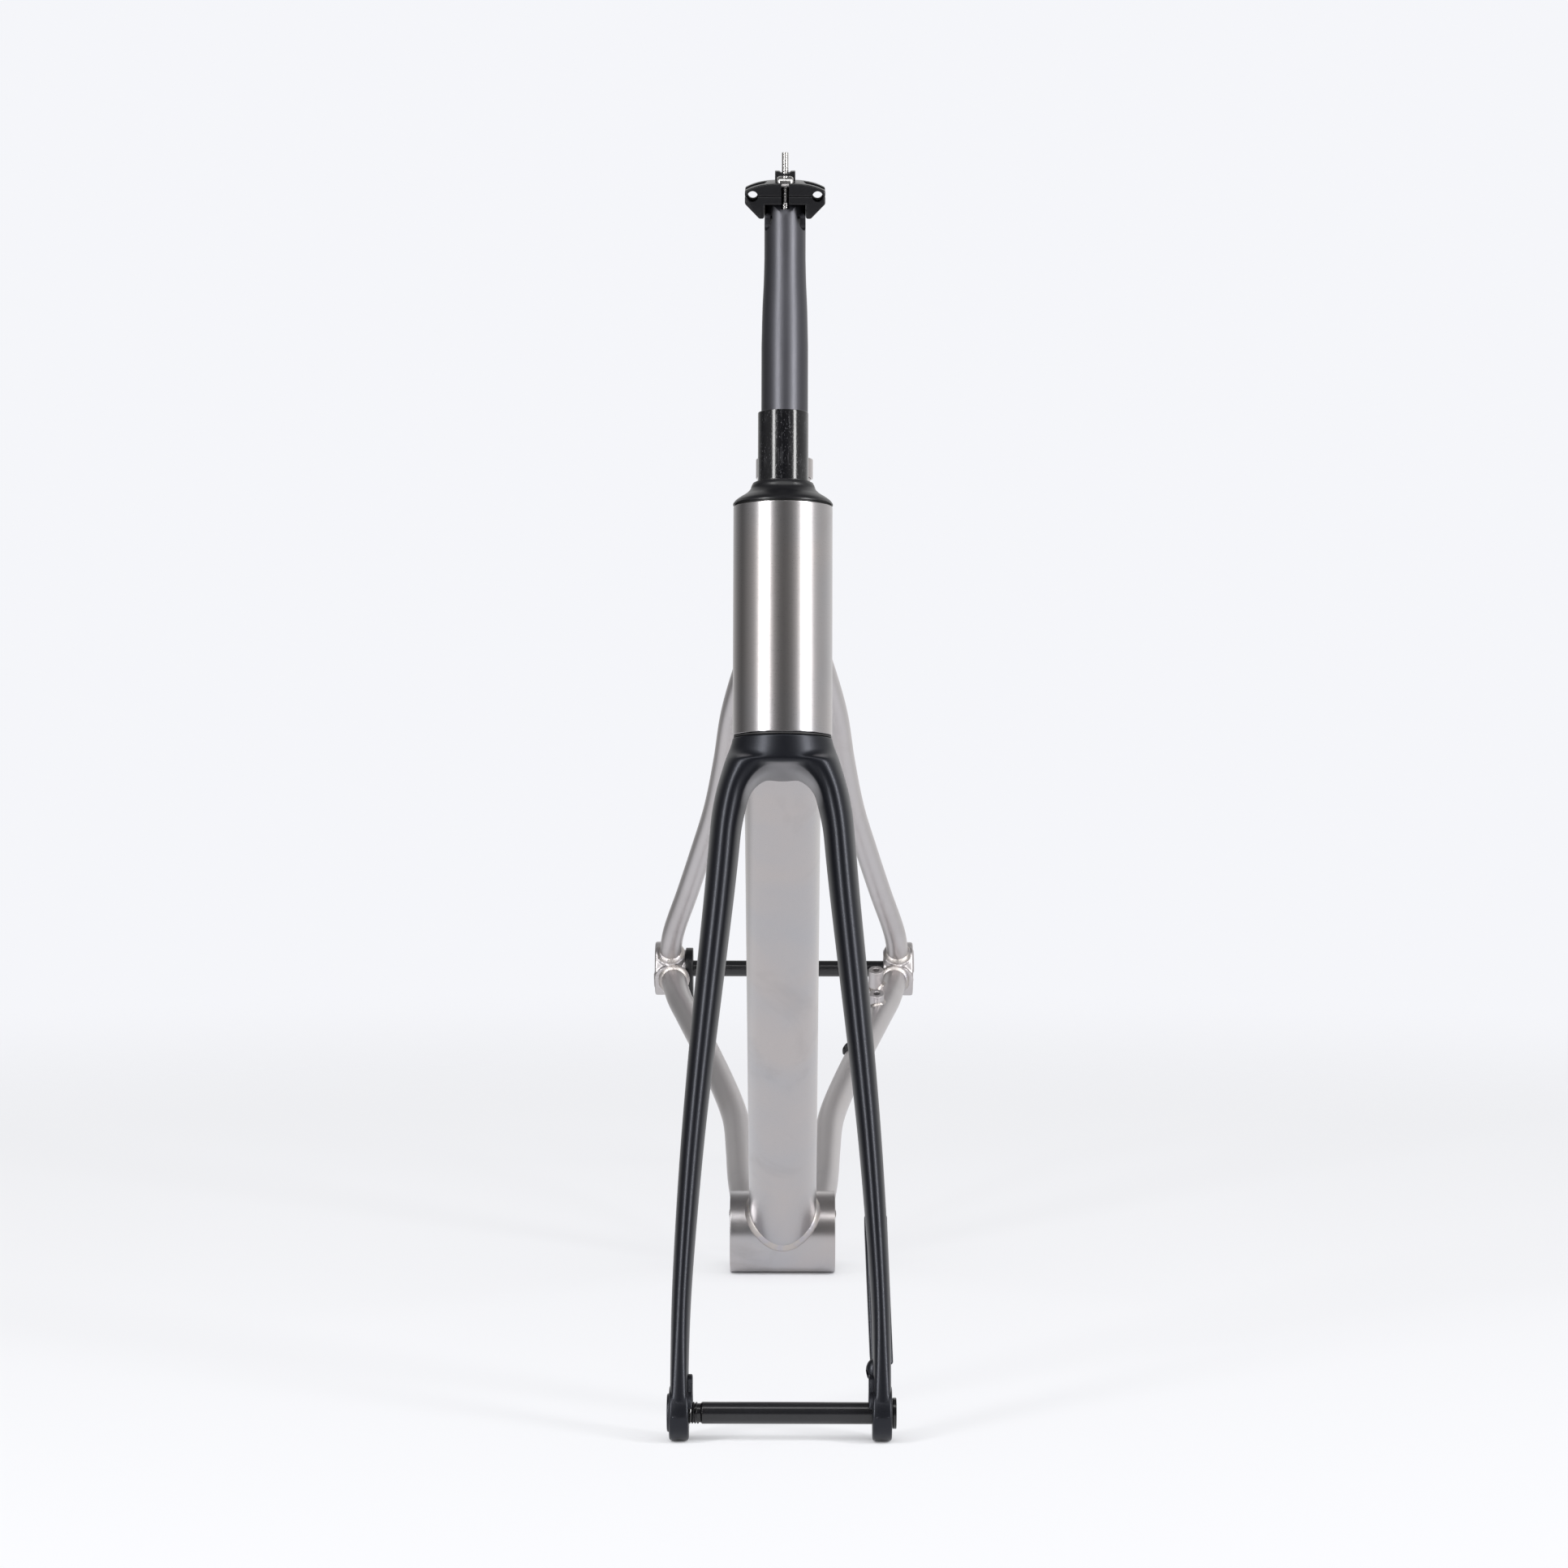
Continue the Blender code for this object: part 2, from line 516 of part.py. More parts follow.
def main_tubes(axes):
    """Head, top, down and seat tube and the shell, each mitred against what it runs into."""
    stance = axes["stance"]
    head_tube(axes)
    head_low, head_high = CROWN + HEAD_FOOT * STEER_UP, CROWN + HEAD_TOP * STEER_UP
    head_guide = tube_guide("head_tube_guide", head_low - 20 * MM * STEER_UP,
                            head_high + 20 * MM * STEER_UP, HEAD_TUBE_DIAMETER, stance, HEAD_FACETS)
    shell_reach = Vector((SHELL_WIDTH, 0, 0))
    shell_guide = tube_guide("shell_guide", -shell_reach, shell_reach, 2 * SHELL_RADIUS, stance,
                             SHELL_FACETS)
    seat_end = SEAT_TUBE_LENGTH * SEAT_UP
    seat_guide = tube_guide("seat_tube_guide", Vector((0, 0, 0)), seat_end * 1.1, SEAT_TUBE_DIAMETER,
                            stance, SEAT_FACETS)

    down_start = head_low + DOWN_TUBE_START * STEER_UP
    down = straight_tube("down_tube", down_start, Vector((0, 0, 0)), DOWN_TUBE_DIAMETER, TUBE_WALL,
                         stance, DOWN_FACETS)
    down_guide = tube_guide("down_tube_guide", down_start, Vector((0, 0, 0)), DOWN_TUBE_DIAMETER,
                            stance, DOWN_FACETS)
    cut(down, head_guide, shell_guide)

    top_start, top_end = head_high - TOP_TUBE_START * STEER_UP, TOP_TUBE_END * SEAT_UP
    top = straight_tube("top_tube", top_start, top_end, TOP_TUBE_DIAMETER, TUBE_WALL, stance, TOP_FACETS)
    cut(top, head_guide, seat_guide)

    seat = straight_tube("seat_tube", Vector((0, 0, 0)), seat_end, SEAT_TUBE_DIAMETER, SEAT_TUBE_WALL,
                         stance, SEAT_FACETS)
    slot = prism([(-SLOT_WIDTH / 2, 0), (SLOT_WIDTH / 2, 0), (SLOT_WIDTH / 2, SEAT_TUBE_DIAMETER),
                  (-SLOT_WIDTH / 2, SEAT_TUBE_DIAMETER)], SEAT_TUBE_LENGTH - 26 * MM,
                 SEAT_TUBE_LENGTH + 5 * MM)
    slot_cutter = add_object("seat_tube_slot", slot, axes["seat"])
    cut(seat, shell_guide, down_guide, slot_cutter)

    inner = SHELL_RADIUS - SHELL_WALL
    half, lip = SHELL_WIDTH / 2, 1.2 * MM
    shell = revolve([(SHELL_RADIUS - 0.5 * MM, -half), (SHELL_RADIUS, -half + 0.5 * MM),
                     (SHELL_RADIUS, half - 0.5 * MM), (SHELL_RADIUS - 0.5 * MM, half),
                     (inner + lip, half), (inner, half - lip), (inner, -half + lip),
                     (inner + lip, -half)], SHELL_FACETS)
    add_object("bottom_bracket_shell", shell, stance, TITANIUM, facing_x())
    return {"shell": shell_guide, "seat": seat_guide, "down": down_guide, "head": head_guide}


def stay_path(start, end, spread, count):
    """Points from start to end in the side view, spread sideways as the stations say."""
    points = []
    for i in range(count):
        share = i / (count - 1)
        point = start.lerp(end, share)
        points.append(Vector((DROPOUT_MIDDLE * smooth_curve(spread, share), point.y, point.z)))
    return points


def mirrored(points, side):
    return [Vector((side * p.x, p.y, p.z)) for p in points]


def seatstay_points(count=10):
    """From the seat tube, out past the tyre, down to the dropout."""
    start = SEATSTAY_TOP * SEAT_UP
    end = REAR_AXLE.lerp(start, (DROPOUT_RADIUS - 4 * MM) / (REAR_AXLE - start).length)
    return stay_path(start, end, SEATSTAY_SPREAD, count)


def chainstay_points(count=10):
    """From the bottom bracket shell, past the chainrings, out to the dropout."""
    start = Vector((0, 14 * MM, 2 * MM))
    end = REAR_AXLE.lerp(start, (DROPOUT_RADIUS - 4 * MM) / (REAR_AXLE - start).length)
    return stay_path(start, end, CHAINSTAY_SPREAD, count)


def hood_directions():
    """From the rear axle towards the seatstay and the chainstay, in the side view."""
    return [(SEATSTAY_TOP * SEAT_UP - REAR_AXLE).normalized(), (-REAR_AXLE).normalized()]


def dropout_outline(radius):
    """A rounded plate about the rear axle, with a shoulder towards each stay."""
    shoulder, reach = 0.45 * radius, 0.6 * radius
    circles = [(0, 0, radius)]
    for direction in hood_directions():
        circles.append((direction.y * reach, direction.z * reach, shoulder))
    return hull_of_circles(circles, 22)


def dropout_shapes(side, grow):
    """The plate, the axle boss and the two hoods of a dropout, each grown by a clearance."""
    plate = sorted((side * (DROPOUT_OUTER + grow), side * (DROPOUT_OUTER - DROPOUT_PLATE - grow)))
    boss = sorted((side * (DROPOUT_OUTER + grow), side * (DROPOUT_INNER - grow)))
    shapes = [(prism(dropout_outline(DROPOUT_RADIUS + grow), *plate, "X"), None),
              (rod(DROPOUT_BOSS_RADIUS + grow, boss[1] - boss[0], 22), facing_x((boss[0], 0, 0)))]
    middle = Vector((side * DROPOUT_MIDDLE, 0, 0))
    facets = 18
    half_turn = Matrix.Rotation(math.pi / facets, 4, "Z")
    for direction in hood_directions():
        place = along(middle, middle + direction) @ half_turn
        shapes.append((rod(HOOD_RADIUS + grow, HOOD_REACH + grow, facets), place))
    return shapes


def rear_triangle(axes, guides):
    stance, rear = axes["stance"], axes["rear_axle"]
    stays = {}
    for side, name in ((1, "left"), (-1, "right")):
        plate, *others = dropout_shapes(side, 0)
        dropout = add_object(f"dropout_{name}", bevel_edges(plate[0], 1.4 * MM, 1), rear, TITANIUM)
        for label, (shape, place) in zip(("boss", "upper_hood", "lower_hood"), others):
            fuse(dropout, add_object(f"dropout_{label}_{name}", bevel_edges(shape, 0.8 * MM, 1), rear,
                                     place=place))
        bore = rod(AXLE_HOLE / 2, 2 * DROPOUT_OUTER, 20, -DROPOUT_OUTER)
        cut(dropout, add_object(f"dropout_bore_{name}", bore, rear, place=facing_x()))
        if side > 0:
            recess = rod(REAR_AXLE_HEAD_DIAMETER / 2 + GAP, DROPOUT_THICKNESS, 22)
            floor = DROPOUT_OUTER - REAR_AXLE_HEAD_THICKNESS - GAP
            cut(dropout, add_object("axle_head_recess", recess, rear, place=facing_x((floor, 0, 0))))

        hoods = [add_object(f"dropout_guide_{i}_{name}", shape, rear, place=place)
                 for i, (shape, place) in enumerate(dropout_shapes(side, GAP))]
        for stay, points, diameter, end in (
                ("seatstay", seatstay_points(), SEATSTAY_DIAMETER, guides["seat"]),
                ("chainstay", chainstay_points(), CHAINSTAY_DIAMETER, guides["shell"])):
            tube = bent_tube(mirrored(points, side), diameter / 2, TUBE_WALL)
            tube = add_object(f"{stay}_{name}", tube, stance, TITANIUM)
            cut(tube, end, *hoods)
            guide = bent_tube(mirrored(points, side), diameter / 2 + GAP, None)
            stays[stay, side] = add_object(f"{stay}_guide_{name}", guide, stance)
    return stays


def nearest_to_reach(points, reach):
    """The point of a stay that lies at a distance from the rear axle, in the side view."""
    return min(points, key=lambda p: abs((Vector((0, p.y, p.z)) - REAR_AXLE).length - reach))


def bridges(axes, stays):
    """Short cross tubes that tie each pair of stays, mitred against both."""
    stance = axes["stance"]
    for stay, points, reach in (("seatstay", seatstay_points(49), SEATSTAY_BRIDGE_REACH),
                                ("chainstay", chainstay_points(49), CHAINSTAY_BRIDGE_REACH)):
        spot = nearest_to_reach(points, reach)
        half, middle = Vector((spot.x, 0, 0)), Vector((0, spot.y, spot.z))
        bridge = straight_tube(f"{stay}_bridge", middle - half, middle + half, BRIDGE_DIAMETER,
                               TUBE_WALL, stance, 16)
        cut(bridge, stays[stay, 1], stays[stay, -1])


def brake_faces():
    """The centres of the rear brake's two flat faces and the direction they face, in the side view."""
    points = chainstay_points(49)
    forward = -REAR_AXLE.normalized()
    up = Vector((0, forward.z, -forward.y))
    centres = []
    for reach, height in ((BRAKE_FIRST_REACH, REAR_BRAKE_HEIGHT),
                          (BRAKE_FIRST_REACH + BRAKE_SPACING, FRONT_BRAKE_HEIGHT)):
        spot = nearest_to_reach(points, reach)
        centres.append(Vector((BRAKE_BOSS_X, spot.y, spot.z)) + height * up)
    line = (centres[1] - centres[0]).normalized()
    return centres, Vector((0, line.z, -line.y))


def rear_brake_bosses(axes, stays):
    """Two threaded posts by the left chainstay, whose flat tops carry the brake caliper."""
    centres, out = brake_faces()
    for name, centre in zip(("rear", "front"), centres):
        post = pipe(BRAKE_BOSS_DIAMETER / 2, BRAKE_THREAD_DIAMETER / 2, BRAKE_BOSS_LENGTH, 16)
        foot = centre - BRAKE_BOSS_LENGTH * out
        boss = add_object(f"{name}_brake_boss", post, axes["stance"], TITANIUM, along(foot, centre))
        cut(boss, stays["chainstay", 1])


def hose_port(axes, stays):
    """A rubber grommet where the brake hose leaves the left chainstay."""
    points = chainstay_points(49)
    spot = nearest_to_reach(points, HOSE_PORT_REACH)
    out = Vector((-0.8, -0.1, 0.6)).normalized()
    length = CHAINSTAY_DIAMETER / 2 + 3.0 * MM
    dome = revolve([(0, 0), (5.0 * MM, 0), (5.0 * MM, length - 2.4 * MM), (4.0 * MM, length - 0.7 * MM),
                    (2.9 * MM, length), (2.5 * MM, length - 1.6 * MM), (0, length - 1.6 * MM)],
                   12, closed=False)
    grommet = add_object("hose_port_grommet", dome, axes["stance"], RUBBER, along(spot, spot + out))
    cut(grommet, stays["chainstay", 1])


def hanger(axes):
    """The replaceable plate that carries the rear derailleur, inside the right dropout."""
    rear = axes["rear_axle"]
    outline = hull_of_circles([(0, 0, 15.5 * MM), (HANGER_SETBACK, -HANGER_DROP, 8.5 * MM)], 16)
    face = -DROPOUT_INNER + GAP
    plate = bevel_edges(prism(outline, face, face + HANGER_THICKNESS, "X"), 0.6 * MM, 1)
    plate = add_object("derailleur_hanger", plate, rear, BLACK_ALLOY)
    reach = 2 * DROPOUT_OUTER
    bore = add_object("hanger_bore", rod(AXLE_HOLE / 2, reach, 20, -reach), rear, place=facing_x())
    mount = rod(5.0 * MM, reach, 16, -reach)
    mount = add_object("hanger_mount_bore", mount, rear,
                       place=facing_x((0, HANGER_SETBACK, -HANGER_DROP)))
    hole = screw_hole(HANGER_SCREW_DIAMETER + 2 * GAP, 2 * HANGER_THICKNESS,
                      2 * HANGER_SCREW_DIAMETER, HANGER_THICKNESS)
    screw_spot = (face + 0.6 * HANGER_THICKNESS, -10.2 * MM, 4.0 * MM)
    hole = add_object("hanger_screw_hole", hole, rear, place=facing_x(screw_spot))
    cut(plate, bore, mount, hole)
    cut(bpy.data.objects["dropout_right"], hole)


def bottle_mounts(axes, guides):
    """Threaded bosses on the down tube and the seat tube, for bottle cages."""
    stance = axes["stance"]
    down_along = (CROWN + (HEAD_FOOT + DOWN_TUBE_START) * STEER_UP).normalized()
    down_out = Vector((0, down_along.z, -down_along.y))
    seat_out = Vector((0, -SEAT_UP.z, SEAT_UP.y))
    hole = BOTTLE_BOLT_DIAMETER / 2
    for tube, line, out, radius, first in (
            ("down", down_along, down_out, DOWN_TUBE_DIAMETER / 2, DOWN_BOSS_START),
            ("seat", SEAT_UP, seat_out, SEAT_TUBE_DIAMETER / 2, SEAT_BOSS_START)):
        for level, reach in (("lower", first), ("upper", first + BOTTLE_SPACING)):
            name, foot, top = f"{level}_{tube}_tube", line * reach, radius + BOTTLE_BOSS_HEIGHT
            place = along(foot, foot + out)
            pad = pipe(BOTTLE_BOSS_DIAMETER / 2, hole, top, 12)
            cut(add_object(f"{name}_bottle_boss", pad, stance, TITANIUM, place), guides[tube])
            drill = add_object(f"{name}_boss_hole", rod(hole, 2 * radius, 12), stance, place=place)
            cut(bpy.data.objects[f"{tube}_tube"], drill)


def seat_collar(axes):
    """The clamp ring round the top of the seat tube, with its slot and bolt at the back."""
    seat = axes["seat"]
    bore = SEAT_TUBE_DIAMETER / 2 + GAP
    outer = bore + COLLAR_WALL
    base = SEAT_TUBE_LENGTH - COLLAR_HEIGHT - GAP
    top = base + COLLAR_HEIGHT
    ring = add_object("seat_collar", pipe(outer, bore, COLLAR_HEIGHT, SEAT_FACETS, base), seat,
                      TITANIUM)
    half, back = COLLAR_EAR_HALF, outer + COLLAR_EAR_REACH
    ear = prism([(-half, bore + GAP), (half, bore + GAP), (half, back - 3 * MM), (half - 3 * MM, back),
                 (-half + 3 * MM, back), (-half, back - 3 * MM)], base, top)
    fuse(ring, add_object("collar_ears", bevel_edges(ear, 1.2 * MM, 1), seat))
    bore_guide = rod(bore, 2 * COLLAR_HEIGHT, SEAT_FACETS, base - COLLAR_HEIGHT / 2)
    slot = prism(box_outline(-SLOT_WIDTH / 2, SLOT_WIDTH / 2, 0, 3 * bore), base - COLLAR_HEIGHT,
                 top + COLLAR_HEIGHT)
    head, head_seat = 8.5 * MM, half - 4.5 * MM
    bolt_spot = (head_seat, outer + 0.55 * COLLAR_EAR_REACH, (base + top) / 2)
    drill = screw_hole(COLLAR_BOLT_DIAMETER + 2 * GAP, 4 * half, head + 2 * GAP, half)
    cut(ring, add_object("collar_bore", bore_guide, seat), add_object("collar_slot", slot, seat),
        add_object("collar_bolt_hole", drill, seat, place=facing_x(bolt_spot)))
    bolt = bolt_mesh(COLLAR_BOLT_DIAMETER, head_seat + half - MM, head, 5.0 * MM, 4 * MM)
    bolt_spot = (bolt_spot[0] + GAP, *bolt_spot[1:])
    add_object("seat_collar_bolt", bolt, seat, SILVER, facing_x(bolt_spot))


# Headset

def race_profile(wall, edge, height, base, groove_side):
    """A race: a plain wall on one side and a ball groove in its edge on the other."""
    middle = base + height / 2
    floor = BALL_CIRCLE_RADIUS + groove_side * (BALL_DIAMETER / 2 + BALL_CLEARANCE)
    return [(wall, base), (wall, base + height), (edge, base + height), (edge, middle + 0.62 * BALL_DIAMETER),
            (floor, middle + 0.28 * BALL_DIAMETER), (floor, middle - 0.28 * BALL_DIAMETER),
            (edge, middle - 0.62 * BALL_DIAMETER), (edge, base)]


def headset_bearing(name, base, bore, axes):
    """A cartridge bearing: the outer race stays in the head tube, the inner one turns with the fork."""
    steering = axes["steering"]
    outer = race_profile(BEARING_DIAMETER / 2, BALL_CIRCLE_RADIUS + 0.9 * MM, BEARING_HEIGHT, base, 1)
    inner = race_profile(bore, BALL_CIRCLE_RADIUS - 0.9 * MM, BEARING_HEIGHT, base, -1)
    add_object(f"{name}_bearing_outer_race", revolve(outer, HEADSET_FACETS), steering, BEARING_STEEL)
    add_object(f"{name}_bearing_inner_race", revolve(inner, HEADSET_FACETS), steering, BEARING_STEEL)
    middle, cage = base + BEARING_HEIGHT / 2, BALL_CAGE_DIAMETER / 2
    ring = revolve(arc((BALL_CIRCLE_RADIUS, middle), cage, 30, 270, 3), BALL_COUNT)
    balls = bmesh.new()
    for i in range(BALL_COUNT):
        turn = math.tau * i / BALL_COUNT
        spot = Vector((BALL_CIRCLE_RADIUS * math.cos(turn), BALL_CIRCLE_RADIUS * math.sin(turn), middle))
        bmesh.ops.create_icosphere(balls, subdivisions=1, radius=BALL_DIAMETER / 2,
                                   matrix=Matrix.Translation(spot))
    ring = add_object(f"{name}_bearing_balls", ring, steering, BEARING_STEEL)
    fuse(ring, add_object(f"{name}_ball_set", balls, steering))


def headset(axes):
    steering, cover = axes["steering"], axes["cover"]
    lower_base = HEAD_FOOT + BEARING_RECESS - GAP
    upper_base = HEAD_TOP - BEARING_SEAT_DEPTH + GAP
    sleeve_bore = STEERER_DIAMETER / 2 + GAP
    sleeve_outer = sleeve_bore + 0.8 * MM
    wedge = sleeve_outer + 1.6 * MM
    headset_bearing("lower", lower_base, STEERER_BASE_DIAMETER / 2 + GAP, axes)
    headset_bearing("upper", upper_base, wedge + GAP, axes)

    race_bore = STEERER_BASE_DIAMETER / 2 + GAP
    race = revolve([(race_bore, GAP), (race_bore, lower_base - GAP),
                    (BALL_CIRCLE_RADIUS - 1.5 * MM, lower_base - GAP), (24.6 * MM, 1.3 * MM),
                    (24.6 * MM, GAP)], HEADSET_FACETS)
    add_object("crown_race", race, steering, BLACK_ALLOY)
    outer = HEAD_TUBE_DIAMETER / 2
    lower_seal = pipe(outer - 0.5 * MM, outer - 2.8 * MM, CROWN_GAP - 2 * GAP, HEADSET_FACETS, GAP)
    add_object("lower_headset_seal", lower_seal, steering, RUBBER)

    upper_top = upper_base + BEARING_HEIGHT
    ring = revolve([(sleeve_bore, upper_base + 1.5 * MM), (sleeve_bore, HEAD_TOP + COVER_HEIGHT + 0.6 * MM),
                    (sleeve_outer, HEAD_TOP + COVER_HEIGHT + 0.6 * MM), (sleeve_outer, HEAD_TOP + 4.4 * MM),
                    (wedge + 2.6 * MM, HEAD_TOP + 3.4 * MM), (wedge + 2.6 * MM, upper_top + GAP),
                    (wedge, upper_top + GAP), (wedge, upper_base + 2.5 * MM),
                    (wedge - 0.9 * MM, upper_base + 1.5 * MM)], HEADSET_FACETS)
    ring = add_object("compression_ring", ring, steering, BLACK_ALLOY)
    split = prism([(-0.6 * MM, 0), (0.6 * MM, 0), (0.6 * MM, outer), (-0.6 * MM, outer)],
                  upper_base - 10 * MM, HEAD_TOP + 2 * COVER_HEIGHT)
    cut(ring, add_object("compression_ring_split", split, steering))

    lip = COVER_LIP_DIAMETER / 2
    bore = sleeve_outer + GAP
    flare = [(lip, 1.0 * MM), (lip, 1.7 * MM), (lip - 1.3 * MM, 3.4 * MM), (lip - 4.0 * MM, 5.4 * MM),
             (lip - 7.2 * MM, 7.4 * MM), (lip - 9.6 * MM, 9.8 * MM), (lip - 10.6 * MM, 12.4 * MM),
             (lip - 11.9 * MM, COVER_HEIGHT)]
    inside = [(bore, COVER_HEIGHT), (bore, 4.7 * MM + GAP), (wedge + 2.9 * MM, 3.7 * MM + GAP),
              (lip - 4.4 * MM, 3.0 * MM), (lip - 1.1 * MM, 1.9 * MM + GAP), (lip - 1.1 * MM, 1.0 * MM)]
    add_object("headset_top_cover", revolve(flare + inside, HEADSET_FACETS), cover, BLACK_ALLOY)
    seal = pipe(lip - 1.1 * MM - GAP, lip - 3.8 * MM, 1.6 * MM, HEADSET_FACETS, GAP)
    add_object("upper_headset_seal", seal, cover, RUBBER)


# Fork

def steerer(axes):
    """The tapered steerer: wide in its socket in the crown, straight where the stem clamps it."""
    top, base = STEERER_DIAMETER / 2, STEERER_BASE_DIAMETER / 2
    foot = -STEERER_SOCKET + GAP
    profile = [(base, foot), (base, 13 * MM), (top + 0.7 * MM, 52 * MM), (top, 60 * MM),
               (top, STEERER_LENGTH - 0.4 * MM), (top - 0.4 * MM, STEERER_LENGTH),
               (top - STEERER_WALL, STEERER_LENGTH), (top - STEERER_WALL, 60 * MM),
               (base - 2 * STEERER_WALL, 14 * MM), (base - 2 * STEERER_WALL, foot)]
    add_object("steerer_tube", revolve(profile, HEADSET_FACETS), axes["steering"], GLOSS_CARBON)


def blade_centre_y(depth):
    """How far forward the blade's centre lies at a depth below the crown."""
    return -FORK_RAKE * (max(depth, 0) / FORK_LENGTH) ** 1.35


def blade_outer(depth):
    return FORK_HALF_WIDTH * smooth_curve(BLADE_OUTER, depth / FORK_LENGTH)


def blade_inner(depth):
    return FORK_HALF_WIDTH * smooth_curve(BLADE_INNER, depth / FORK_LENGTH)


def blade_half_depth(depth):
    return HEAD_TUBE_DIAMETER / 2 * smooth_curve(BLADE_HALF_DEPTH, depth / FORK_LENGTH)


def blade_ring(bm, outer, inner, half_depth, centre_y, slope=0.0):
    """One section of the left blade, between an outer and an inner point given as (x, depth).

    The slope carries the arch's fall towards the rear round the section's inner side.
    """
    middle = ((outer[0] + inner[0]) / 2, (outer[1] + inner[1]) / 2)
    reach = ((outer[0] - inner[0]) / 2, (outer[1] - inner[1]) / 2)
    ring = []
    for i in range(RING_POINTS):
        angle = -math.pi / 2 + math.tau * i / RING_POINTS
        c, s = math.cos(angle), math.sin(angle)
        across = math.copysign(abs(c) ** (2 / BLADE_ROUNDNESS), c)
        fore = math.copysign(abs(s) ** (2 / BLADE_ROUNDNESS), s)
        y = fore * half_depth
        fall = slope * y * (1 - across) / 2
        ring.append(bm.verts.new((middle[0] + across * reach[0], centre_y + y,
                                  -(middle[1] + across * reach[1] + fall))))
    return ring


def fork_half_mesh():
    """The left half of the crown and its blade, open on the centre plane where its mirror image joins.

    Half rings go round the crown. Under the arch they open into full rings, which run down the blade.
    """
    bm = bmesh.new()
    half = RING_POINTS // 2
    crown = []
    for depth in (0, 2.3 * MM, 5.5 * MM):
        width, length = blade_outer(depth), HEAD_TUBE_DIAMETER / 2
        ring = []
        for i in range(half + 1):
            angle = -math.pi / 2 + math.pi * i / half
            x = 0.0 if i in (0, half) else width * math.cos(angle)
            ring.append(bm.verts.new((x, length * math.sin(angle), -depth)))
        crown.append(ring)
    bm.faces.new(crown[0])
    arch = []
    for i in range(1, half):
        angle = math.pi / 2 + math.pi * i / half
        y = ARCH_HALF_DEPTH * math.sin(angle)
        arch.append(bm.verts.new((0, y, -ARCH_TOP - ARCH_SLOPE * y)))

    sections = []
    for lean, share in CROWN_SECTIONS:
        turn, depth = math.radians(lean), share * ARCH_TOP
        inner = (ARCH_RADIUS * math.sin(turn), ARCH_TOP + ARCH_RADIUS * (1 - math.cos(turn)))
        sections.append(((blade_outer(depth), depth), inner))
    for share in BLADE_SECTIONS:
        depth = share * FORK_LENGTH
        sections.append(((blade_outer(depth), depth), (blade_inner(depth), depth)))
    rings = []
    for k, (outer, inner) in enumerate(sections):
        depth = (outer[1] + inner[1]) / 2
        slope = ARCH_SLOPE * max(0, 1 - k / len(CROWN_SECTIONS))
        rings.append(blade_ring(bm, outer, inner, blade_half_depth(depth), blade_centre_y(depth), slope))

    first = rings[0]
    for upper, lower in zip(crown, [*crown[1:], first]):
        for i in range(half):
            bm.faces.new((upper[i], upper[i + 1], lower[i + 1], lower[i]))
    chain = [crown[-1][half], *arch, crown[-1][0]]
    inner_side = [*first[half:], first[0]]
    for i in range(half):
        bm.faces.new((chain[i], chain[i + 1], inner_side[i + 1], inner_side[i]))
    for upper, lower in zip(rings, rings[1:]):
        for i in range(RING_POINTS):
            j = (i + 1) % RING_POINTS
            bm.faces.new((upper[i], upper[j], lower[j], lower[i]))
    bm.faces.new(rings[-1])
    return bm


def fork_tip(side):
    """The round dropout at a blade's foot, with the half ring that guides the hub."""
    inner, outer = HUB_HALF, HUB_HALF + FORK_TIP_WIDTH
    faces = sorted((side * inner, side * outer))
    disc = prism(arc((0, 0), FORK_TIP_RADIUS, 0, 360, 25)[:-1], *faces, "X")
    bevel_edges(disc, 1.2 * MM, 1)
    lip_faces = sorted((side * (inner - 2.0 * MM), side * (inner + 3.0 * MM)))
    rim = 0.95 * FORK_TIP_RADIUS
    outline = (arc((0, 0), rim, 12, 55, 5) + arc((0, 14 * MM), 7 * MM, 35, 145, 7)
               + arc((0, 0), rim, 125, 168, 5) + arc((0, 0), HUB_CAP_RADIUS, 168, 12, 11))
    return disc, prism(outline, *lip_faces, "X")


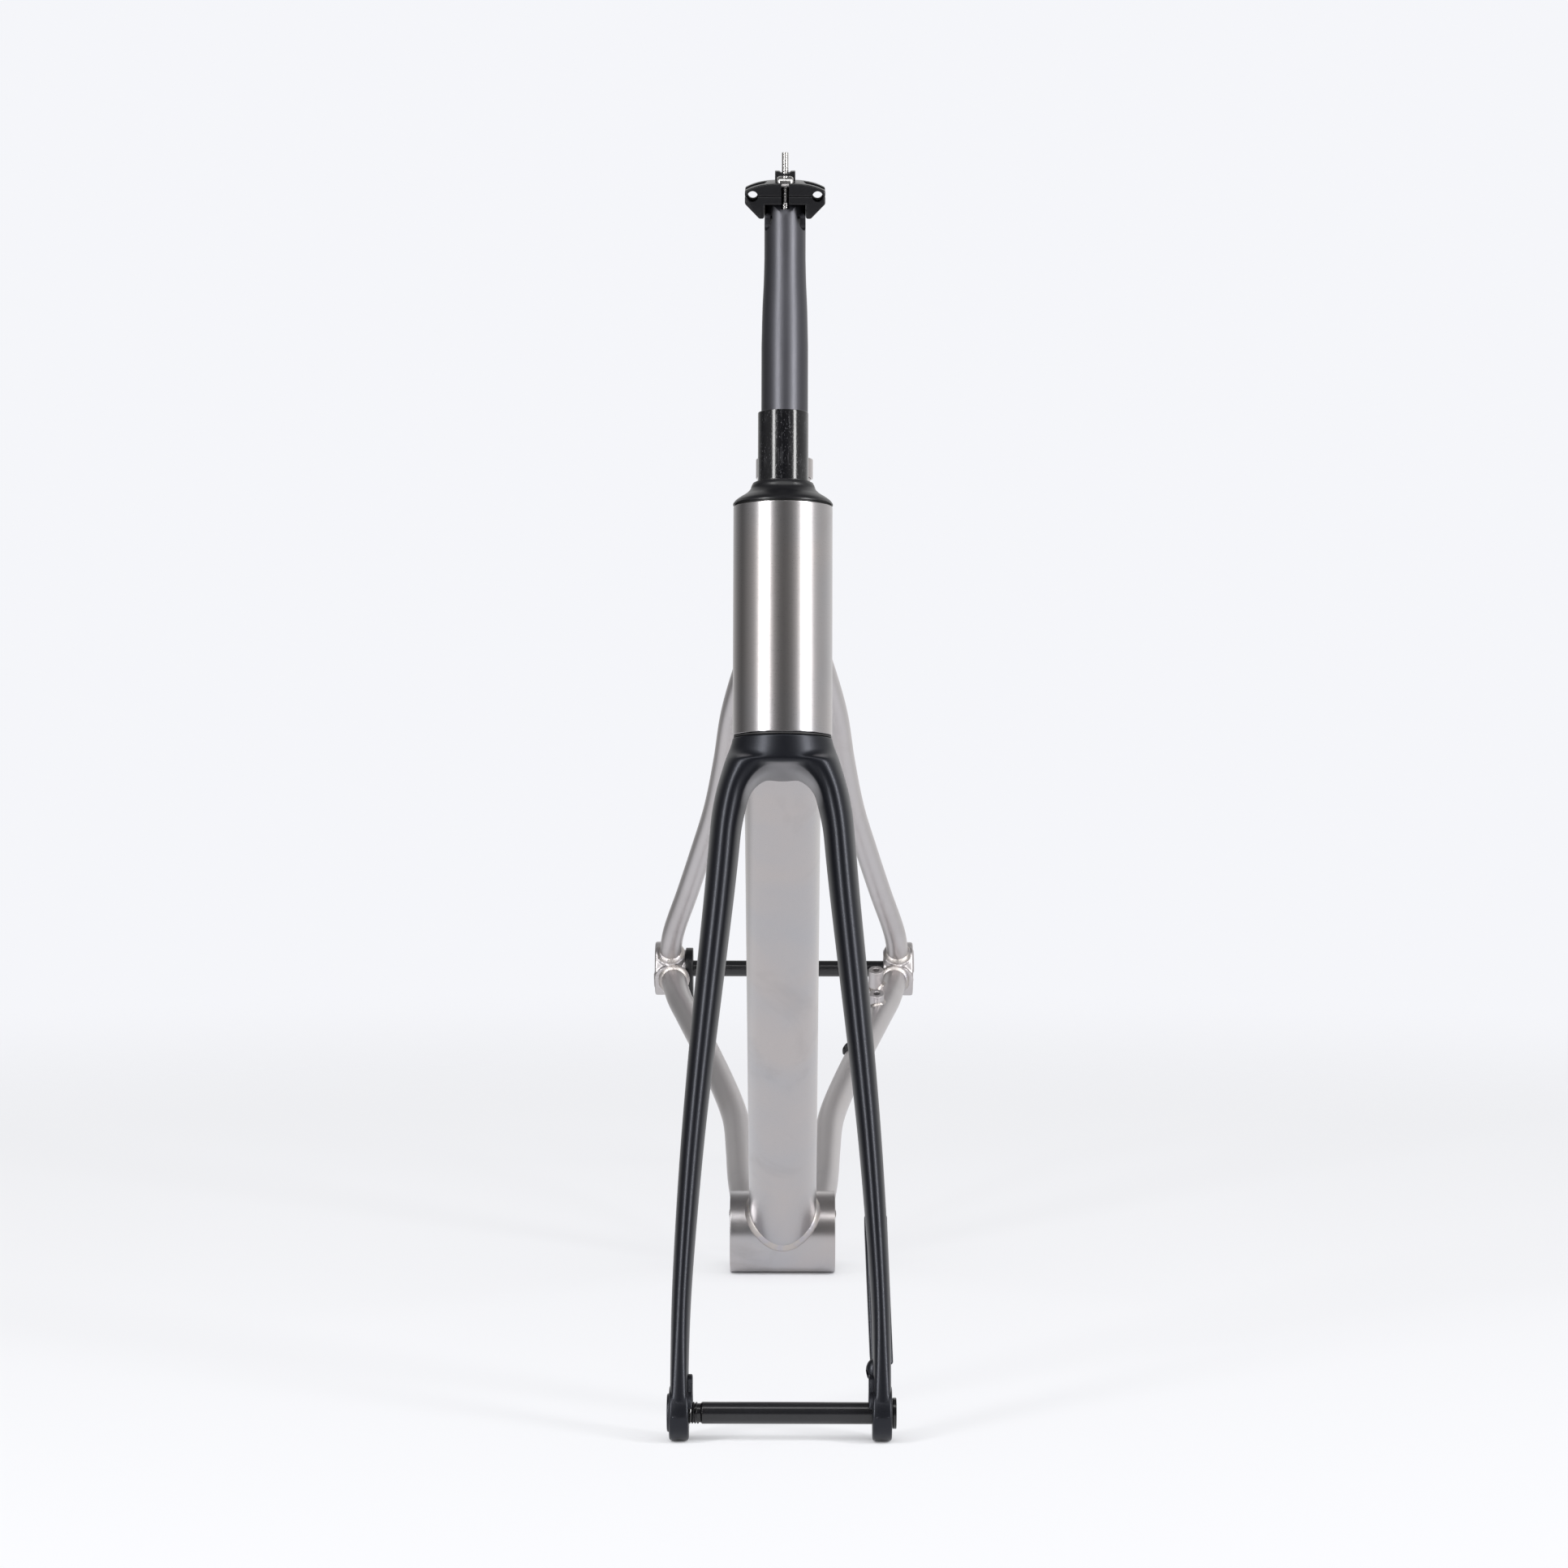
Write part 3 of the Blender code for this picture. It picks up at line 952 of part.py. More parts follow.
def fork(axes):
    steering, axle = axes["steering"], axes["front_axle"]
    blades = add_object("fork_crown_and_blades", fork_half_mesh(), steering, CARBON)
    mirror = blades.modifiers.new("mirror", "MIRROR")
    mirror.use_axis = (True, False, False)
    mirror.use_clip = True
    mirror.merge_threshold = 0.00001
    for side, name in ((1, "left"), (-1, "right")):
        for kind, shape in zip(("disc", "lip"), fork_tip(side)):
            fuse(blades, add_object(f"fork_tip_{kind}_{name}", shape, axle))
    boss_start = -(HUB_HALF + FORK_TIP_WIDTH + 1.3 * MM)
    boss = bevel_edges(rod(10.5 * MM, 8 * MM, 22), 1.0 * MM, 1)
    fuse(blades, add_object("thread_boss", boss, axle, place=facing_x((boss_start, 0, 0))))

    pad_top, pad_foot = blade_point(BRAKE_PAD_START), blade_point(BRAKE_PAD_START + BRAKE_PAD_LENGTH)
    pad_place = along(pad_top, pad_foot)
    rear_face = -BRAKE_PAD_REAR
    outline = [(-3 * MM, -3 * MM), (-10 * MM, 0), (rear_face, 4 * MM),
               (rear_face, BRAKE_PAD_LENGTH - 4 * MM), (-10 * MM, BRAKE_PAD_LENGTH),
               (-3 * MM, BRAKE_PAD_LENGTH + 3 * MM)]
    pad = prism(outline, -BRAKE_PAD_WIDTH / 2, BRAKE_PAD_WIDTH / 2, "X")
    bevel_edges(pad, 1.0 * MM, 1)
    fuse(blades, add_object("brake_pad_block", pad, steering, place=pad_place))
    port = bmesh.new()
    bmesh.ops.create_uvsphere(port, u_segments=12, v_segments=7, radius=1.0)
    bmesh.ops.scale(port, verts=port.verts, vec=(4.6 * MM, 5.2 * MM, 6.6 * MM))
    port_spot = blade_point(HOSE_EXIT_DEPTH) + Vector((-4.2 * MM, 1.0 * MM, 0))
    fuse(blades, add_object("hose_exit_bump", port, steering, place=Matrix.Translation(port_spot)))

    insert_floor = -(HUB_HALF + FORK_TIP_WIDTH - THREAD_INSERT_COVER)
    bore, insert_bore, reach = AXLE_HOLE / 2, THREAD_INSERT_DIAMETER / 2 + GAP, FRONT_HUB_LENGTH
    bore = revolve([(0, -reach), (bore, -reach), (bore, insert_floor), (insert_bore, insert_floor),
                    (insert_bore, -HUB_HALF / 2), (bore, -HUB_HALF / 2), (bore, reach), (0, reach)],
                   20, closed=False)
    socket = rod(STEERER_BASE_DIAMETER / 2 + GAP, 2 * STEERER_SOCKET, HEADSET_FACETS, -STEERER_SOCKET)
    throat = rod(STEERER_BASE_DIAMETER / 2 - 2 * STEERER_WALL, 0.04, 20, -0.03)
    exit_hole = rod(2.4 * MM, 9 * MM, 10)
    cut(blades,
        add_object("front_axle_bore", bore, axle, place=facing_x()),
        add_object("steerer_socket", socket, steering),
        add_object("crown_throat", throat, steering),
        add_object("hose_exit_hole", exit_hole, steering,
                   place=along(port_spot, port_spot + Vector((-1, -0.3, -0.5)))))

    middle = BRAKE_PAD_LENGTH / 2
    for name, reach in (("upper", middle - BRAKE_BOLT_SPACING / 2),
                        ("lower", middle + BRAKE_BOLT_SPACING / 2)):
        place = pad_place @ Matrix.Translation((0, rear_face, reach)) @ Matrix.Rotation(-math.pi / 2, 4, "X")
        pocket = rod(4.0 * MM + GAP, 20 * MM, 12, -0.2 * MM)
        outside = place @ Matrix.Translation((0, 0, -10 * MM))
        cut(blades, add_object(f"{name}_insert_pocket", pocket, steering, place=outside))
        insert = pipe(4.0 * MM, BRAKE_THREAD_DIAMETER / 2, 9.0 * MM, 12)
        add_object(f"{name}_brake_insert", insert, steering, SILVER,
                   place @ Matrix.Translation((0, 0, 0.2 * MM)))
    insert_length = FORK_TIP_WIDTH - THREAD_INSERT_COVER - GAP
    insert = pipe(THREAD_INSERT_DIAMETER / 2, AXLE_HOLE / 2, insert_length, 20)
    add_object("front_axle_thread_insert", insert, axle, BLACK_ALLOY,
               facing_x((insert_floor + GAP, 0, 0)))


def blade_point(depth):
    """The centre of the left blade at a depth below the crown."""
    return Vector(((blade_outer(depth) + blade_inner(depth)) / 2, blade_centre_y(depth), -depth))


# Thru-axles

def thru_axle(name, start, under_head, head_diameter, top, parent):
    """A hollow axle along X, with a root where its thread ends and a head with a key socket."""
    radius, head, socket = AXLE_DIAMETER / 2, head_diameter / 2, AXLE_KEY / math.sqrt(3)
    root, thread_end = radius - THREAD_DEPTH, start + THREAD_LENGTH
    profile = [(AXLE_BORE / 2, start), (root, start), (radius, start + THREAD_DEPTH),
               (radius, thread_end - THREAD_DEPTH), (root, thread_end),
               (radius, thread_end + THREAD_DEPTH), (radius, under_head), (head, under_head),
               (head, top - 0.5 * MM), (head - 0.5 * MM, top), (socket, top), (socket, top - 8 * MM),
               (AXLE_BORE / 2, top - 9 * MM)]
    add_object(name, revolve(profile, 18), parent, BLACK_ALLOY, facing_x())


def thru_axles(axes):
    under_head = HUB_HALF + FORK_TIP_WIDTH + GAP
    thru_axle("front_thru_axle", under_head - FRONT_AXLE_LENGTH, under_head, FRONT_AXLE_HEAD_DIAMETER,
              under_head + FRONT_AXLE_HEAD_THICKNESS, axes["front_axle"])
    under_head = DROPOUT_OUTER - REAR_AXLE_HEAD_THICKNESS
    thru_axle("rear_thru_axle", -DROPOUT_OUTER + 4 * MM, under_head, REAR_AXLE_HEAD_DIAMETER,
              DROPOUT_OUTER - 0.8 * MM, axes["rear_axle"])


# Seatpost and saddle clamp

def seatpost(axes):
    """The post, whose round top rocks in the cradle, with cross windows for the barrel nuts."""
    seat, clamp = axes["seat"], axes["clamp"]
    radius, neck = POST_DIAMETER / 2, NECK_DIAMETER / 2
    top = CLAMP_PIVOT + ROCKER_RADIUS + 3 * MM
    profile = [(radius, POST_FOOT), (radius, POST_TAPER_START), (radius - 0.6 * MM, POST_TAPER_START + 14 * MM),
               (neck + 0.4 * MM, POST_TAPER_END - 10 * MM), (neck, POST_TAPER_END + 6 * MM), (neck, top),
               (0, top), (0, CLAMP_PIVOT + 5 * MM), (neck - POST_WALL, CLAMP_PIVOT + 5 * MM),
               (neck - POST_WALL, POST_TAPER_END), (radius - POST_WALL, POST_TAPER_START),
               (radius - POST_WALL, POST_FOOT)]
    post = add_object("seatpost", revolve(profile, SEAT_FACETS), seat, CARBON)

    shoulder = 2.0 * MM
    start = math.degrees(math.asin(shoulder / ROCKER_RADIUS))
    above = [(30 * MM, shoulder), *arc((0, 0), ROCKER_RADIUS, start, 180 - start, 13),
             (-30 * MM, shoulder), (-30 * MM, 40 * MM), (30 * MM, 40 * MM)]
    cut(post, add_object("rocker_shape", prism(above, -20 * MM, 20 * MM, "X"), clamp))
    windows, slots = bmesh.new(), bmesh.new()
    for side in (-1, 1):
        window = prism([(side * CLAMP_BOLT_OFFSET + a, b) for a, b in
                        slot_outline(WINDOW_HEIGHT, BARREL_DIAMETER + 2 * GAP)], -20 * MM, 20 * MM, "X")
        add_shell(windows, window)
        width, reach = CLAMP_BOLT_DIAMETER / 2 + GAP, sorted((side * 1.5 * MM, side * 11.8 * MM))
        slot = prism([(-width, reach[0]), (width, reach[0]), (width, reach[1]), (-width, reach[1])],
                     -2 * MM, 20 * MM)
        add_shell(slots, slot)
    cut(post, add_object("barrel_windows", windows, clamp), add_object("bolt_slots", slots, clamp))


def saddle_clamp(axes):
    """The cradle and the upper clamp that grip the saddle rails, with their bolts and nuts."""
    clamp = axes["clamp"]
    half, length = CLAMP_WIDTH / 2, CLAMP_LENGTH / 2
    parting = RAIL_HEIGHT - GAP
    cheek = NECK_DIAMETER / 2 + 0.7 * MM
    lower = [(half, parting), (half, RAIL_HEIGHT - 5 * MM), (cheek + 2.2 * MM, 3 * MM), (cheek, 3 * MM),
             (cheek, 12.4 * MM), (-cheek, 12.4 * MM), (-cheek, 3 * MM), (-cheek - 2.2 * MM, 3 * MM),
             (-half, RAIL_HEIGHT - 5 * MM), (-half, parting)]
    cradle = prism(lower, -length, length, "Y")
    cradle = add_object("lower_rail_cradle", bevel_edges(cradle, 0.8 * MM, 1, 30), clamp, BLACK_ALLOY)
    rocker = rod(ROCKER_RADIUS + GAP, 2 * cheek, 40, -cheek)
    rocker = add_object("rocker_seat", rocker, clamp, place=facing_x())

    arched = [(half - 2 * half * i / 12, CLAMP_CREST - CLAMP_FALL * abs(1 - i / 6) ** 3) for i in range(13)]
    upper = [(half, RAIL_HEIGHT + GAP), *arched, (-half, RAIL_HEIGHT + GAP), (-12 * MM, RAIL_HEIGHT + GAP),
             (-8 * MM, RAIL_HEIGHT + 2 * MM), (8 * MM, RAIL_HEIGHT + 2 * MM), (12 * MM, RAIL_HEIGHT + GAP)]
    upper = prism(upper, -length, length, "Y")
    upper = add_object("upper_rail_clamp", bevel_edges(upper, 0.7 * MM, 1, 30), clamp, BLACK_ALLOY)

    rails, notches = bmesh.new(), bmesh.new()
    for side in (-1, 1):
        rail = rod(RAIL_DIAMETER / 2, 3 * CLAMP_LENGTH, 20, -1.5 * CLAMP_LENGTH)
        rail.transform(Matrix.Translation((side * RAIL_SPACING / 2, 0, RAIL_HEIGHT))
                       @ Matrix.Rotation(math.pi / 2, 4, "X"))
        add_shell(rails, rail)
        width = CLAMP_BOLT_DIAMETER / 2 + GAP
        notch = prism(box_outline(-width, width, side * (CLAMP_BOLT_OFFSET - width),
                                     side * CLAMP_LENGTH), 0, 2 * CLAMP_CREST)
        add_shell(notches, notch)
    seat = rod(FRONT_NUT_DIAMETER / 2 + GAP, FRONT_NUT_WIDTH + 2 * GAP, 20, -FRONT_NUT_WIDTH / 2 - GAP)
    nut_place = facing_x((0, -CLAMP_BOLT_OFFSET, FRONT_NUT_HEIGHT))
    rails = add_object("rail_grooves", rails, clamp)
    notches = add_object("clamp_bolt_notches", notches, clamp)
    seat = add_object("front_nut_seat", seat, clamp, place=nut_place)
    cut(cradle, rocker, rails, notches)
    cut(upper, rails, notches, seat)

    drill = rod(CLAMP_BOLT_DIAMETER / 2 + GAP, 0.1, 18, -0.05)
    front_drill = add_object("front_bolt_drill", drill, clamp,
                             place=Matrix.Translation((0, -CLAMP_BOLT_OFFSET, 0)))
    rear_drill = add_object("rear_bolt_drill", rod(CLAMP_BOLT_DIAMETER / 2 + GAP, 0.1, 18, -0.05), clamp,
                            place=Matrix.Translation((0, CLAMP_BOLT_OFFSET, 0)))
    nut = rod(FRONT_NUT_DIAMETER / 2, FRONT_NUT_WIDTH, 22, -FRONT_NUT_WIDTH / 2)
    nut = add_object("front_clamp_nut", bevel_edges(nut, 0.8 * MM, 1), clamp, SILVER, nut_place)
    cut(nut, front_drill)

    wing, nut_top = REAR_NUT_WIDTH / 2, REAR_NUT_BASE + REAR_NUT_HEIGHT
    scoop = arc((0, nut_top + 3.4 * MM), 5.2 * MM, -42, -138, 7)
    half_depth = REAR_NUT_DEPTH / 2
    rear_nut = prism([(-wing, REAR_NUT_BASE), (wing, REAR_NUT_BASE), (wing, nut_top), *scoop,
                      (-wing, nut_top)], CLAMP_BOLT_OFFSET - half_depth, CLAMP_BOLT_OFFSET + half_depth,
                     "Y")
    rear_nut = add_object("rear_clamp_nut", rear_nut, clamp, BLACK_ALLOY)
    cut(rear_nut, rear_drill)

    for name, side, top, bolt_drill in (
            ("front", -1, FRONT_NUT_HEIGHT + FRONT_NUT_DIAMETER / 2, front_drill),
            ("rear", 1, REAR_BOLT_TOP, rear_drill)):
        barrel = rod(BARREL_DIAMETER / 2, BARREL_LENGTH, 14, -BARREL_LENGTH / 2)
        barrel = add_object(f"{name}_barrel_nut", barrel, clamp, SILVER,
                            facing_x((0, side * CLAMP_BOLT_OFFSET, 0)))
        cut(barrel, bolt_drill)
        foot, shank = CLAMP_BOLT_FOOT, CLAMP_BOLT_DIAMETER / 2
        bolt = revolve([(0, foot), (shank - 0.4 * MM, foot), (shank, foot + 0.4 * MM),
                        (shank, top - 0.5 * MM), (shank - 0.5 * MM, top), (0, top)], 18, closed=False)
        add_object(f"{name}_clamp_bolt", bolt, clamp, SILVER,
                   Matrix.Translation((0, side * CLAMP_BOLT_OFFSET, 0)))


def stand_on_floor(axes):
    """Move the stance so that the bike's lowest points are at Z 0 and its footprint is centred."""
    graph = bpy.context.evaluated_depsgraph_get()
    graph.update()
    corners = []
    for obj in bpy.context.scene.objects:
        if obj.type != "MESH" or obj.hide_render:
            continue
        shown = obj.evaluated_get(graph)
        mesh = shown.to_mesh()
        corners += [shown.matrix_world @ v.co for v in mesh.vertices]
        shown.to_mesh_clear()
    low = Vector([min(c[i] for c in corners) for i in range(3)])
    high = Vector([max(c[i] for c in corners) for i in range(3)])
    axes["stance"].location = (-(low.x + high.x) / 2, -(low.y + high.y) / 2, -low.z)


def main():
    clear_scene()
    axes = make_axes()
    guides = main_tubes(axes)
    stays = rear_triangle(axes, guides)
    bridges(axes, stays)
    rear_brake_bosses(axes, stays)
    hose_port(axes, stays)
    hanger(axes)
    bottle_mounts(axes, guides)
    seat_collar(axes)
    headset(axes)
    steerer(axes)
    fork(axes)
    thru_axles(axes)
    seatpost(axes)
    saddle_clamp(axes)
    stand_on_floor(axes)


main()
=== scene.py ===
import json
import math

import bmesh
import bpy
from mathutils import Matrix, Vector

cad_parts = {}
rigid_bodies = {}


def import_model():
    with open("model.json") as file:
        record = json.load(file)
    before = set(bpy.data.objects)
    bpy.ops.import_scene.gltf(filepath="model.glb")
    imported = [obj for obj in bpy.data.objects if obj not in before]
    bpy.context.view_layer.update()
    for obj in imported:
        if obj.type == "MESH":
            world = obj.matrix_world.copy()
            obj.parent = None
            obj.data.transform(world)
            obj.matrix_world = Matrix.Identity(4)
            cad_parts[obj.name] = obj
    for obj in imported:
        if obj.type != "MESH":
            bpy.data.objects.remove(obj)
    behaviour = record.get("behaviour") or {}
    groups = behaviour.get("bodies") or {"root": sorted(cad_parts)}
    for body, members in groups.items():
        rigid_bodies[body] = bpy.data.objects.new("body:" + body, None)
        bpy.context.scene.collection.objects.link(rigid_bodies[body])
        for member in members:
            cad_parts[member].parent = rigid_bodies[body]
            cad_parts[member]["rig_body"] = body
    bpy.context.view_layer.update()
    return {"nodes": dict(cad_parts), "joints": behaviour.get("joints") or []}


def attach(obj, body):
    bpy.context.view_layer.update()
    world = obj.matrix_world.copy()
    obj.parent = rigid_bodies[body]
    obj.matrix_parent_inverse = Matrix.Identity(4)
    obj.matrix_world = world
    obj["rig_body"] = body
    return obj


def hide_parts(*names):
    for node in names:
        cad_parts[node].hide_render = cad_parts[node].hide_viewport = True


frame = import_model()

mm = 0.001


def millimetres(**sizes):
    # the settings of a piece, given in millimetres
    return {name: size * mm for name, size in sizes.items()}


nodes = frame["nodes"]

# the bike in its riding pose, which the stance tips nose down onto fork tips and shell
bike = {**millimetres(frontCentre=575, drop=77, chainstay=418, rake=45, forkLength=374, tipRadius=15,
                      shellRadius=27, clampPivot=684, gap=0.3), "headAngle": 73.0, "seatAngle": 73.5}
gap = bike["gap"]


def tilt(degrees):
    return Matrix.Rotation(math.radians(degrees), 4, "X")


def shift(x, y, z):
    return Matrix.Translation((x, y, z))


def upAt(degrees):
    return Vector((0, math.cos(math.radians(degrees)), math.sin(math.radians(degrees))))


steerUp, seatUp = upAt(bike["headAngle"]), upAt(bike["seatAngle"])
steerBack = Vector((0, steerUp.z, -steerUp.y))
frontAxle = Vector((0, -bike["frontCentre"], bike["drop"]))
rearAxle = Vector((0, math.sqrt(bike["chainstay"] ** 2 - bike["drop"] ** 2), bike["drop"]))
crown = frontAxle + bike["rake"] * steerBack + bike["forkLength"] * steerUp
pitch = math.degrees(math.asin((bike["shellRadius"] - bike["tipRadius"]) / frontAxle.length)
                     + math.atan2(bike["drop"], bike["frontCentre"]))
steeringPoint = Vector(next(j["pos_m"] for j in frame["joints"] if j["name"] == "steering"))
stance = Matrix.Translation(steeringPoint - tilt(pitch) @ crown) @ tilt(pitch)
steering = stance @ Matrix.Translation(crown) @ tilt(bike["headAngle"] - 90)
frontHub = steering @ shift(0, -bike["rake"], -bike["forkLength"])
rearHub = stance @ Matrix.Translation(rearAxle)
seatLine = stance @ tilt(bike["seatAngle"] - 90)
clampLine = seatLine @ shift(0, 0, bike["clampPivot"]) @ tilt(90 - bike["seatAngle"])


def along(start, end):
    # a place whose Z runs from start to end, with X kept near the world's
    z = (end - start).normalized()
    x = Vector((1, 0, 0)) if abs(z.x) < 0.99 else Vector((0, 1, 0))
    x = (x - x.dot(z) * z).normalized()
    return Matrix.Translation(start) @ Matrix((x, z.cross(x), z)).transposed().to_4x4()


def facingX(x=0.0, y=0.0, z=0.0):
    return shift(x, y, z) @ Matrix.Rotation(math.pi / 2, 4, "Y")


# node trees

class Flow:
    # a socket of a node tree: Python's operators on it add the Math nodes
    def __init__(self, tree, socket=None):
        self.tree, self.socket = tree, socket

    def node(self, kind, settings=None, sockets=None, out=0):
        made = self.tree.nodes.new(kind)
        for key, value in (settings or {}).items():
            if key == "stops":
                setStops(made.color_ramp, value)
            else:
                setattr(made, key, value)
        for key, value in (sockets or {}).items():
            if isinstance(value, Flow):
                self.tree.links.new(value.socket, made.inputs[key])
            else:
                made.inputs[key].default_value = value
        return Flow(self.tree, made.outputs[out])

    def maths(self, operation, first, second):
        return self.node("ShaderNodeMath", {"operation": operation}, {0: first, 1: second})

    def __add__(self, other):
        return self.maths("ADD", self, other)

    def __sub__(self, other):
        return self.maths("SUBTRACT", self, other)

    def __rsub__(self, other):
        return self.maths("SUBTRACT", other, self)

    def __mul__(self, other):
        return self.maths("MULTIPLY", self, other)

    __radd__, __rmul__ = __add__, __mul__


def setStops(ramp, stops):
    while len(ramp.elements) < len(stops):
        ramp.elements.new(1.0)
    for element, (position, value) in zip(ramp.elements, stops):
        element.position = position
        element.color = (value, value, value, 1) if isinstance(value, (int, float)) else (*value, 1)


def stretched(point, scale):
    return point.node("ShaderNodeVectorMath", {"operation": "MULTIPLY"}, {0: point, 1: scale})


def localTo(point, place):
    # the point in the space of a tube's own axis
    return point.node("ShaderNodeMapping", {"vector_type": "TEXTURE"},
                      {"Vector": point, "Location": place.to_translation(), "Rotation": place.to_euler()})


def noise(point, scale, detail=2.0, rough=0.5, warp=0.0):
    sockets = {"Vector": point, "Scale": scale, "Detail": detail, "Roughness": rough, "Distortion": warp}
    return point.node("ShaderNodeTexNoise", {}, sockets)


def ramped(value, *stops):
    return value.node("ShaderNodeValToRGB", {"stops": stops}, {0: value})


def tinted(share, first, second):
    sockets = {0: share}
    for index, colour in ((6, first), (7, second)):
        sockets[index] = colour if isinstance(colour, Flow) else (*colour, 1)
    return share.node("ShaderNodeMix", {"data_type": "RGBA"}, sockets, 2)


def bumped(height, strength, distance):
    return height.node("ShaderNodeBump", {}, {"Strength": strength, "Distance": distance, "Height": height})


def mixLook(name, fixed, paint):
    # a Principled material: fixed numbers on its own sockets, painted ones through nodes
    made = bpy.data.materials.new(name)
    made.use_nodes = True
    tree = made.node_tree
    shader = tree.nodes["Principled BSDF"]
    for key, value in fixed.items():
        shader.inputs[key].default_value = (*value, 1) if isinstance(value, tuple) else value
    point = Flow(tree).node("ShaderNodeTexCoord", {}, {}, "Object")
    for key, value in paint(point).items():
        tree.links.new(value.socket, shader.inputs[key])
    return made


titaniumSettings = {"warm": (0.500, 0.468, 0.462), "cool": (0.452, 0.446, 0.462),
                    "dark": (0.335, 0.315, 0.315), "pale": (0.640, 0.615, 0.620),
                    "brush": (140, 140, 2400), "grain": 3200, "patch": 14, "smudge": 11}


def titanium(name, place, rough=0.24, smudges=0.35, pale=0.0):
    # brushed round the tube, faintly blotched, with handling marks
    s = titaniumSettings

    def paint(point):
        local = localTo(point, place)
        brush = noise(stretched(local, s["brush"]), 1.0, 3.0, 0.6)
        grain = noise(local, s["grain"], 2.0, 0.6)
        patch = noise(local, s["patch"], 3.0, 0.5, 0.4)
        smudge = ramped(noise(local, s["smudge"], 6.0, 0.62, 1.2), (0.52, 0.0), (0.72, 1.0)) * smudges
        colour = tinted(ramped(patch, (0.35, 0.0), (0.65, 1.0)), s["warm"], s["cool"])
        colour = tinted(patch * 0.1 + pale, colour, s["pale"])
        colour = tinted(smudge + brush * 0.07, colour, s["dark"])
        height = brush * 0.3 + grain * 0.8
        return {"Base Color": colour, "Roughness": rough + brush * 0.03 + grain * 0.06 + smudge * 0.16,
                "Normal": bumped(height, 0.16, 0.02 * mm)}

    return mixLook(name, {"Metallic": 1.0}, paint)


def weldMetal(point):
    grain = noise(point, 1800, 3.0, 0.6)
    heat = ramped(noise(point, 120, 2.0, 0.5), (0.3, (0.53, 0.50, 0.495)), (0.5, (0.51, 0.475, 0.45)),
                  (0.68, (0.47, 0.45, 0.475)))
    return {"Base Color": heat, "Roughness": 0.34 + grain * 0.14, "Normal": bumped(grain, 0.12, 0.03 * mm)}


def satinCarbon(point):
    # moulded and sprayed satin black with a faint fleck; the arch's underside gets a painted pale grey
    # reflection, standing in for the bright floor it mirrors at a grazing angle
    local = localTo(point, steering)
    fleck = noise(stretched(point, (1, 1, 0.45)), 2600, 2.0, 0.7)
    cloud = noise(point, 22, 3.0, 0.5)
    peel = noise(point, 900, 1.0, 0.5)
    dust = ramped(noise(point, 5200, 1.0, 0.5), (0.68, 0.0), (0.80, 1.0))
    colour = tinted(fleck * 0.5 + dust * 0.5, (0.0018, 0.0020, 0.0032), (0.007, 0.0075, 0.011))
    # masks for the painted reflection under the arch: near the middle across, at the arch's height below the
    # crown, and facing neither fore nor aft
    across, rise = [point.node("ShaderNodeSeparateXYZ", {}, {0: local}, axis) for axis in ("X", "Z")]
    facing = point.node("ShaderNodeNewGeometry", {}, {}, "Normal")
    facing = facing.node("ShaderNodeSeparateXYZ", {}, {0: facing}, "Y")
    within = ramped(across.maths("ABSOLUTE", across, 0.0) * 20, (0.44, 1.0), (0.52, 0.0))
    within = within * ramped(rise * 20 + 1.0, (0.20, 0.0), (0.46, 1.0), (0.74, 1.0), (0.80, 0.0))
    under = ramped(facing.maths("ABSOLUTE", facing, 0.0), (0.30, 1.0), (0.55, 0.0)) * within
    # painted reflection: a pale grey laid on the arch's underside, where the satin black would mirror the
    # bright floor at a grazing angle
    colour = tinted(under, colour, (0.16, 0.155, 0.165))
    return {"Base Color": colour, "Roughness": 0.32 + cloud * 0.06 + fleck * 0.05,
            "Normal": bumped(peel, 0.08, 0.02 * mm)}


def rawSteerer(point):
    # sanded and clear coated tube, scuffed by the stem
    local = localTo(point, steering)
    scuff = ramped(noise(stretched(local, (420, 420, 60)), 1.0, 5.0, 0.7), (0.54, 0.0), (0.70, 1.0))
    speck = ramped(noise(stretched(local, (1500, 1500, 700)), 1.0, 3.0, 0.65), (0.60, 0.0), (0.72, 1.0))
    wear = ramped(noise(local, 60, 3.0, 0.6), (0.42, 0.15), (0.62, 1.0))
    marks = (scuff * 0.45 + speck) * wear
    weave = noise(stretched(local, (900, 900, 120)), 1.0, 2.0, 0.5)
    colour = tinted(marks * 0.55, (0.004, 0.004, 0.005), (0.22, 0.22, 0.235))
    return {"Base Color": colour, "Roughness": 0.15 + marks * 0.30 + weave * 0.05,
            "Normal": bumped(scuff * 0.5 + speck + weave * 0.3, 0.35, 0.04 * mm)}


def mattPost(point):
    # satin clear over a fine fibre skin
    local = localTo(point, seatLine)
    speck = ramped(noise(local, 3400, 2.0, 0.75), (0.50, 0.0), (0.72, 1.0))
    fibre = noise(stretched(local, (2200, 2200, 420)), 1.0, 3.0, 0.7)
    haze = noise(local, 26, 3.0, 0.5)
    colour = tinted(speck * 0.5 + fibre * 0.3, (0.0035, 0.0035, 0.0048), (0.024, 0.024, 0.031))
    return {"Base Color": colour, "Roughness": 0.38 + haze * 0.06 + speck * 0.10,
            "Normal": bumped(speck * 0.6 + fibre, 0.25, 0.02 * mm)}


def blackAnodised(point):
    fine = noise(point, 2800, 2.0, 0.6)
    turned = noise(point, 40, 3.0, 0.5)
    colour = tinted(fine * 0.6 + turned * 0.3, (0.0025, 0.0025, 0.0034), (0.008, 0.008, 0.010))
    return {"Base Color": colour, "Roughness": 0.27 + turned * 0.08 + fine * 0.06,
            "Normal": bumped(fine, 0.10, 0.015 * mm)}


